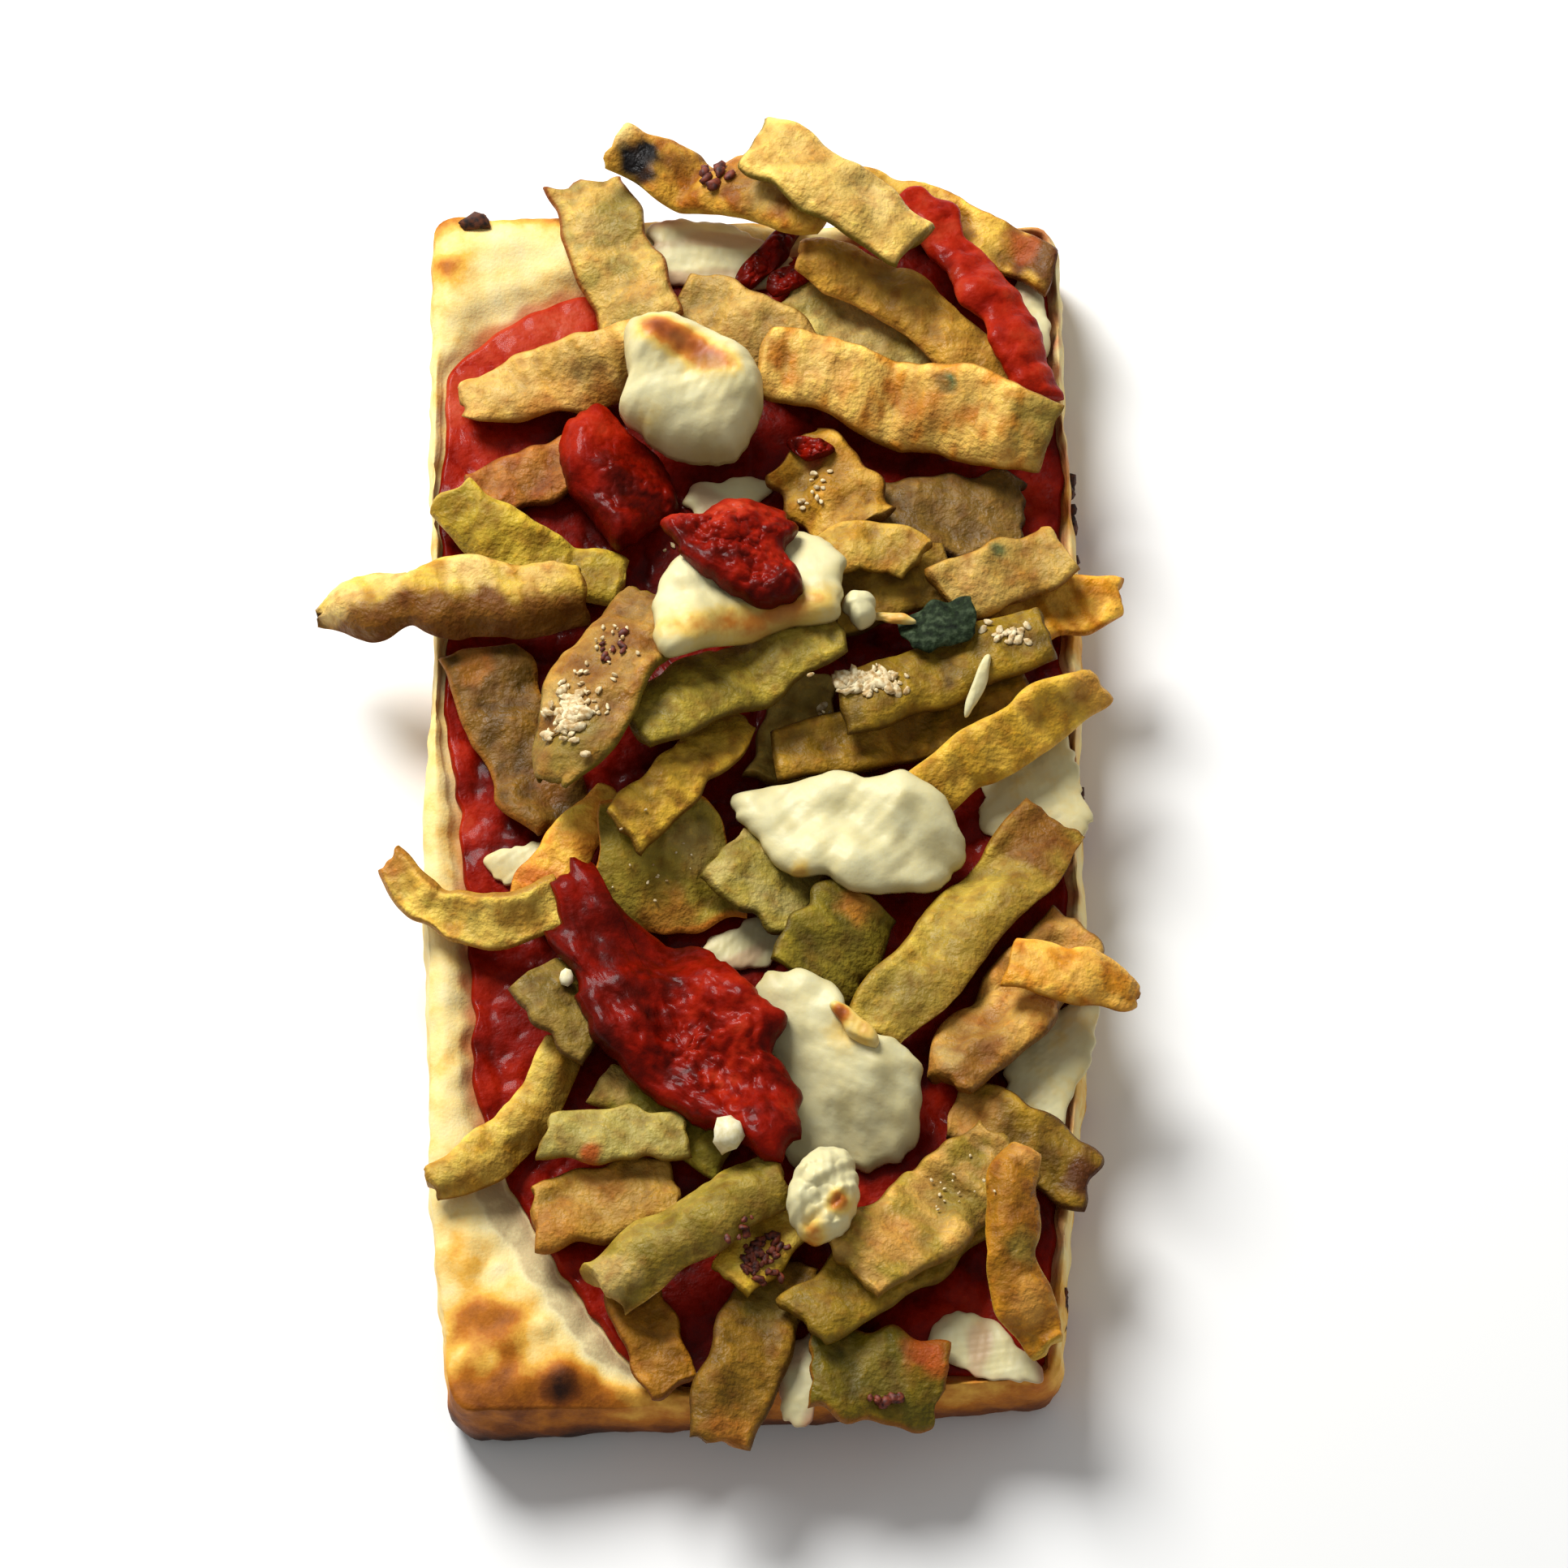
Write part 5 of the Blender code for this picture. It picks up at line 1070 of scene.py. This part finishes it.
def fried_strip(piece, heap):
    """A fried strip: flesh mottled in two tones, cut sides and underside in a third, and its own marks, with
    painted shade in its pits and in the hollows of its folds, and painted light on its raised folds, towards its
    edges and in long waves along it. Each tone of the table is multiplied by the frying's cast and by the strip's
    brightness."""
    *tones, crumple, brightness = FRIED[piece.name]
    flesh, mottled, cut = (linear(tone) * FRYING_CAST * brightness for tone in tones)
    rings, s, t, above, folds, pits = strip_surface(piece, heap, crumple)
    points, faces = rings.reshape(-1, 3), strip_faces(*rings.shape[:2])
    x, y, _ = points.T
    seed = seed_of(piece.name)
    mottle = eased(ripple(x, y, 6.5, seed + 8) + 0.5 * ripple(x, y, 2.6, seed + 9), -0.35, 0.75)[:, None]
    tone = flesh + (mottled - flesh) * mottle
    # Painted light towards both edges and in long waves along the strip, and on raised folds and knobs; painted shade
    # in hollows and pits.
    lit = 0.20 * eased(np.abs(t), 0.5, 0.85) + 0.13 * ripple(s * piece.length / 2, 0 * t, 13, seed + 13)
    tone = tone * (0.95 + lit + 0.30 * np.clip(folds, -1, 1) + 1.0 * pits)[:, None]
    rim = eased(np.abs(t), 0.86, 0.96) + 0.8 * eased(np.abs(s), 0.96, 0.99) + 0.9 * (above < 0)
    tone = tone + (cut - tone) * np.clip(rim, 0, 1)[:, None]
    # Painted shade: the down-sloping right side of a folded strip takes a dark tone.
    if piece.name in FOLDED_WITH_PAINTED_SHADE:
        side, strength = FOLDED_WITH_PAINTED_SHADE[piece.name]
        share = strength * eased(0.25 * ripple(s * piece.length / 2, 0 * t, 9, seed + 12) - t, 0.0, 0.3) * (above > 0)
        tone = tone + (linear(side) - tone) * share[:, None]
    for at_x, at_y, radius, patch, strength in PATCHES.get(piece.name, ()):
        wobble = radius * (1 + 0.3 * ripple(x, y, 4, seed + 10))
        share = strength * eased(wobble - np.hypot(x - at_x, y - at_y), -0.25 * radius, 0.6 * radius)
        tone = tone + (linear(patch) - tone) * share[:, None]
    shown(piece.name, points, faces, FRY, "fried_aubergine", tone=np.clip(tone, 0, 1))
    return points, faces[0]


def sauce_strip(piece, heap):
    """The long smear of sauce, lumpy along its run and uneven in width."""
    rings, s, t, *_ = strip_surface(piece, heap, 1.2)
    ahead, left = turned(piece.heading)
    run = s * piece.length / 2
    aside = t * (0.9 * ripple(run, 20 * np.sign(t), 12, 43) + 0.2 * ripple(run, 20 * np.sign(t), 4, 44))
    rings = rings + (aside[:, None] * (*left, 0.0)).reshape(rings.shape)
    points, faces = rings.reshape(-1, 3), strip_faces(*rings.shape[:2])
    x, y, _ = points.T
    grains = knobs(x, y, 2.6, 41)
    points[:, 2] += 0.4 * (grains - 0.4) * (1 - np.abs(t) ** 3)
    # Brighter on its raised grains, a painted light.
    level = 0.46 + 0.16 * grains + 0.16 * ripple(x, y, 7, 42)
    shown(piece.name, points, faces, SAUCE, "tomato_sauce", raised=level)
    return points, faces[0]


def leaf(piece, heap):
    """The dried leaf, crumpled."""
    rings, *_ = strip_surface(piece, heap, 3.6)
    points, faces = rings.reshape(-1, 3), strip_faces(*rings.shape[:2])
    shown(piece.name, points, faces, HERB, "herb")
    return points, faces[0]


def cheese_lump(piece, heap):
    """Melted cheese: smooth with shallow dents, or granular where it is the crumbly piece. The thin melts are
    wetter, and pink from the sauce in places."""
    seed = seed_of(piece.name)
    crumbly, thin = piece.name == "cheese_crumbly", piece.name.startswith("thin")

    def relief(x, y):
        if crumbly:
            return 0.5 * ripple(x, y, 4.4, seed) + 0.4 * knobs(x, y, 2.4, seed) + 0.15 * ripple(x, y, 1.6, seed + 1)
        dents = 0.42 * ripple(x, y, 8, seed + 3) + 0.13 * ripple(x, y, 3.4, seed + 4)
        return dents * (0.5 if thin else 1) + 0.03 * ripple(x, y, 1.4, seed + 7)

    points, rise = lump_surface(piece, heap, 0.10 if thin else 0.06 if crumbly else 0.03, relief)
    x, y, _ = points.T
    bake = 0.08 + 0.06 * ripple(x, y, 7, seed + 5) + marked(x, y, BROWNED.get(piece.name, ()))
    # Olive tint: random patches where whey shows through, and a painted shade low on the lump's sides.
    whey = 0.30 * eased(ripple(x, y, 9, seed + 6), 0.0, 0.9) + 0.35 * (1 - eased(rise, 0.2, 0.85)) + 0.05 * thin
    pale, small = piece.name in PALE_MELTS, piece.name in CHEESE_BITS
    whey = whey * (0 if crumbly or small else 0.3 if pale else 0.5 if thin else 1)
    bake += 0.07 * pale
    stain = (0.45 * eased(ripple(x, y, 7, seed + 9), -0.2, 0.9) + 0.3 * (1 - eased(rise, 0.3, 0.95))) * thin
    shown(piece.name, points, LUMP_FACES, CHEESE, "mozzarella", bake=bake, whey=np.clip(whey, 0, 1),
          stain=np.clip(stain, 0, 1) * (0.15 if pale else 1))
    return points, LUMP_FACES[0]


def dollop(piece, heap):
    """A dollop of crushed tomato: broad soft swells, and grains of pulp where it is coarse."""
    seed = seed_of(piece.name)

    def coarse(x, y):
        least, *places = COARSE_PULP.get(piece.name, (1.0,))
        return least + marked(x, y, places)

    def relief(x, y):
        grains = 0.55 * (knobs(x, y, 2.4, seed) - 0.5) + 0.45 * (knobs(x, y, 1.3, seed + 1) - 0.5)
        return 0.6 * ripple(x, y, 8, seed + 3) + grains * coarse(x, y)

    points, rise = lump_surface(piece, heap, 0.05, relief)
    x, y, _ = points.T
    # Painted light: brighter on the tops of the grains, high on the dome and at the lit places of DOLLOP_BRIGHT; the
    # low base level is a painted shade.
    level = 0.16 + 0.12 * ripple(x, y, 8, seed + 2) + 0.26 * coarse(x, y) * knobs(x, y, 2.2, seed) ** 2 * rise
    level += marked(x, y, DOLLOP_BRIGHT.get(piece.name, ()))
    shown(piece.name, points, LUMP_FACES, SAUCE, "tomato_sauce", raised=level)
    return points, LUMP_FACES[0]


def dress():
    """Lays the whole slice from the bottom up, and gives the heap that the crumbs lie on."""
    heap = Heap()
    outline = slab_outline(OUTLINE_POINTS)
    edge = sauce_outline(outline)
    heap.add(*crust(outline, edge))
    heap.add(*sauce(edge))
    for piece in LAYERS:
        if piece.finish == "fried":
            made = fried_strip
        elif piece.finish == "herb":
            made = leaf
        elif piece.finish == "cheese":
            made = cheese_lump
        else:
            made = sauce_strip if isinstance(piece, Strip) else dollop
        heap.add(*made(piece, heap))
    return heap


def scattered(name, finish, slot, spots, heap, seed):
    """Crumbs strewn round each spot, which gives its place, its spread along x and y, how many, and their
    radius, stretch and flatness. Each crumb sits in the heap's surface."""
    draw = np.random.default_rng(seed)
    places = []
    for at_x, at_y, spread_x, spread_y, count, radius, stretch, flat in spots:
        x = at_x + spread_x * draw.normal(0, 0.5, count)
        y = at_y + spread_y * draw.normal(0, 0.5, count)
        size = radius * draw.uniform(0.6, 1.25, count)
        z = heap.under(x, y) + size * flat * 0.3
        places.append(np.column_stack([x, y, z, size, np.full(count, stretch), np.full(count, flat)]))
    places = np.concatenate(places)
    shown(name, crumb_points(places, seed).reshape(-1, 3), crumb_faces(len(places)), finish, slot)


BIT_SIZES = (0.35, 0.95)
BIT_HEIGHTS = (9.0, 12.0)
BIT_SUNK = 0.75  # how far the middle of a bit lies inside the slice's side line


def stuck(name, finish, spots, seed):
    """Burnt bits stuck along the crust's right side, round each place along it, which gives its spread and how
    many bits. Each bit is longer along the side than across it."""
    draw = np.random.default_rng(seed)
    y = np.concatenate([at + spread * draw.uniform(-1, 1, count) for at, spread, count in spots])
    x = left_and_right(y)[1] - BIT_SUNK
    size = draw.uniform(*BIT_SIZES, len(y))
    z = draw.uniform(*BIT_HEIGHTS, len(y))
    places = np.column_stack([x, y, z, size, np.full(len(y), 1.4), np.full(len(y), 1.0)])
    shown(name, crumb_points(places, seed, np.pi / 2).reshape(-1, 3), crumb_faces(len(y)), finish, "baked_dough")


HEAP = dress()
GRATED = crumb_finish("grated_hard_cheese", "b08c52", "eadaae", 0.6)
DROP = crumb_finish("drop_of_melted_cheese", "dccf9c", "ece4c0", 0.45)
CHAR = crumb_finish("charred_crumb", "1c0a04", "5c2c10", 0.75)
PULP = crumb_finish("browned_tomato_pulp", "340c05", "7a3014", 0.6)
scattered("grated_cheese_crumbs", GRATED, "mozzarella", (
    (17.0, 12.8, 5.0, 1.7, 70, 0.66, 1.7, 0.6), (-28.4, 4.0, 2.8, 4.0, 64, 0.66, 1.7, 0.6),
    (17.5, 12.5, 7.0, 2.6, 40, 0.34, 1.6, 0.7), (-27.6, 6.0, 4.0, 6.0, 40, 0.34, 1.6, 0.7),
    (39.6, 21.4, 3.6, 1.8, 20, 0.55, 1.4, 0.5), (31.0, -70.0, 8.0, 5.0, 16, 0.20, 1.4, 0.7),
    (-14.0, -16.0, 7.0, 6.0, 14, 0.22, 1.4, 0.7), (-22.0, 16.0, 4.0, 6.0, 16, 0.30, 1.4, 0.7),
    (9.0, 50.0, 4.0, 3.0, 12, 0.40, 1.4, 0.6), (-9.0, 43.0, 4.0, 2.4, 12, 0.36, 1.4, 0.6),
), HEAP, 51)
scattered("cheese_drops", DROP, "mozzarella", (
    (-28.2, -35.9, 0.0, 0.0, 1, 1.2, 1.1, 1.0), (-3.9, -63.0, 0.0, 0.0, 1, 2.0, 1.1, 1.2),
), HEAP, 52)
stuck("charred_crumbs", CHAR, ((53.0, 4.0, 10), (43.0, 2.0, 4), (27.0, 2.0, 7), (-1.0, 3.0, 9), (-48.4, 1.0, 4),
                               (-63.5, 3.5, 10), (-84.0, 3.6, 9)), 53)
scattered("browned_pulp_crumbs", PULP, "tomato_sauce", (
    (1.0, -80.0, 3.6, 4.2, 60, 0.50, 1.5, 0.7), (-6.6, 104.4, 2.6, 1.4, 9, 0.70, 1.4, 0.7),
    (20.0, -101.0, 3.0, 0.8, 10, 0.6, 1.4, 0.8),
    (-21.5, 15.0, 1.6, 3.0, 8, 0.5, 1.6, 0.6),
), HEAP, 54)
scattered("burnt_bit_at_the_far_edge", CHAR, "baked_dough", ((-45.2, 101.7, 0.0, 0.0, 1, 2.2, 1.6, 0.8),), HEAP, 55)


# Floor, light and camera

LAMP_AT = (-0.42, 0.66, 0.80)  # metres, aimed at the middle of the underside


def studio():
    """A plain pale floor, a wide soft light over the far left, and a faint light all round."""
    mesh = bpy.data.meshes.new("floor")
    mesh.from_pydata([(-2, -2, 0), (2, -2, 0), (2, 2, 0), (-2, 2, 0)], [], [(0, 1, 2, 3)])
    finish, tree, shader, where = begun("white_paper", Roughness=0.9)
    shader.inputs["Base Color"].default_value = (*linear("f4f4f2"), 1.0)
    mesh.materials.append(finish)
    floor = bpy.data.objects.new("floor", mesh)
    bpy.context.scene.collection.objects.link(floor)
    world = bpy.data.worlds.new("studio")
    world.use_nodes = True
    world.node_tree.nodes["Background"].inputs["Color"].default_value = (1, 1, 1, 1)
    world.node_tree.nodes["Background"].inputs["Strength"].default_value = 0.33
    bpy.context.scene.world = world
    light = bpy.data.lights.new("key", "AREA")
    light.shape, light.size, light.energy = "DISK", 0.56, 18.0
    lamp = bpy.data.objects.new("key", light)
    lamp.location = LAMP_AT
    aim = -np.array(LAMP_AT)
    lamp.rotation_euler = (float(np.arctan2(np.hypot(*aim[:2]), -aim[2])), 0.0, float(np.arctan2(-aim[0], aim[1])))
    bpy.context.scene.collection.objects.link(lamp)


def camera():
    """A long lens a metre away, 65 degrees above the horizon, looking along the slice from its near end."""
    lens = bpy.data.cameras.new("camera")
    lens.sensor_width, lens.lens = 36.0, 146.3
    seen_from = bpy.data.objects.new("camera", lens)
    up = np.radians(65.0)
    target = np.array([4.8, 4.5, 8.0]) * MM
    seen_from.location = target + np.array([0.0, -np.cos(up), np.sin(up)])
    seen_from.rotation_euler = (float(np.pi / 2 - up), 0.0, 0.0)
    bpy.context.scene.collection.objects.link(seen_from)
    bpy.context.scene.camera = seen_from


studio()
camera()
bpy.context.scene.view_settings.view_transform = "Standard"
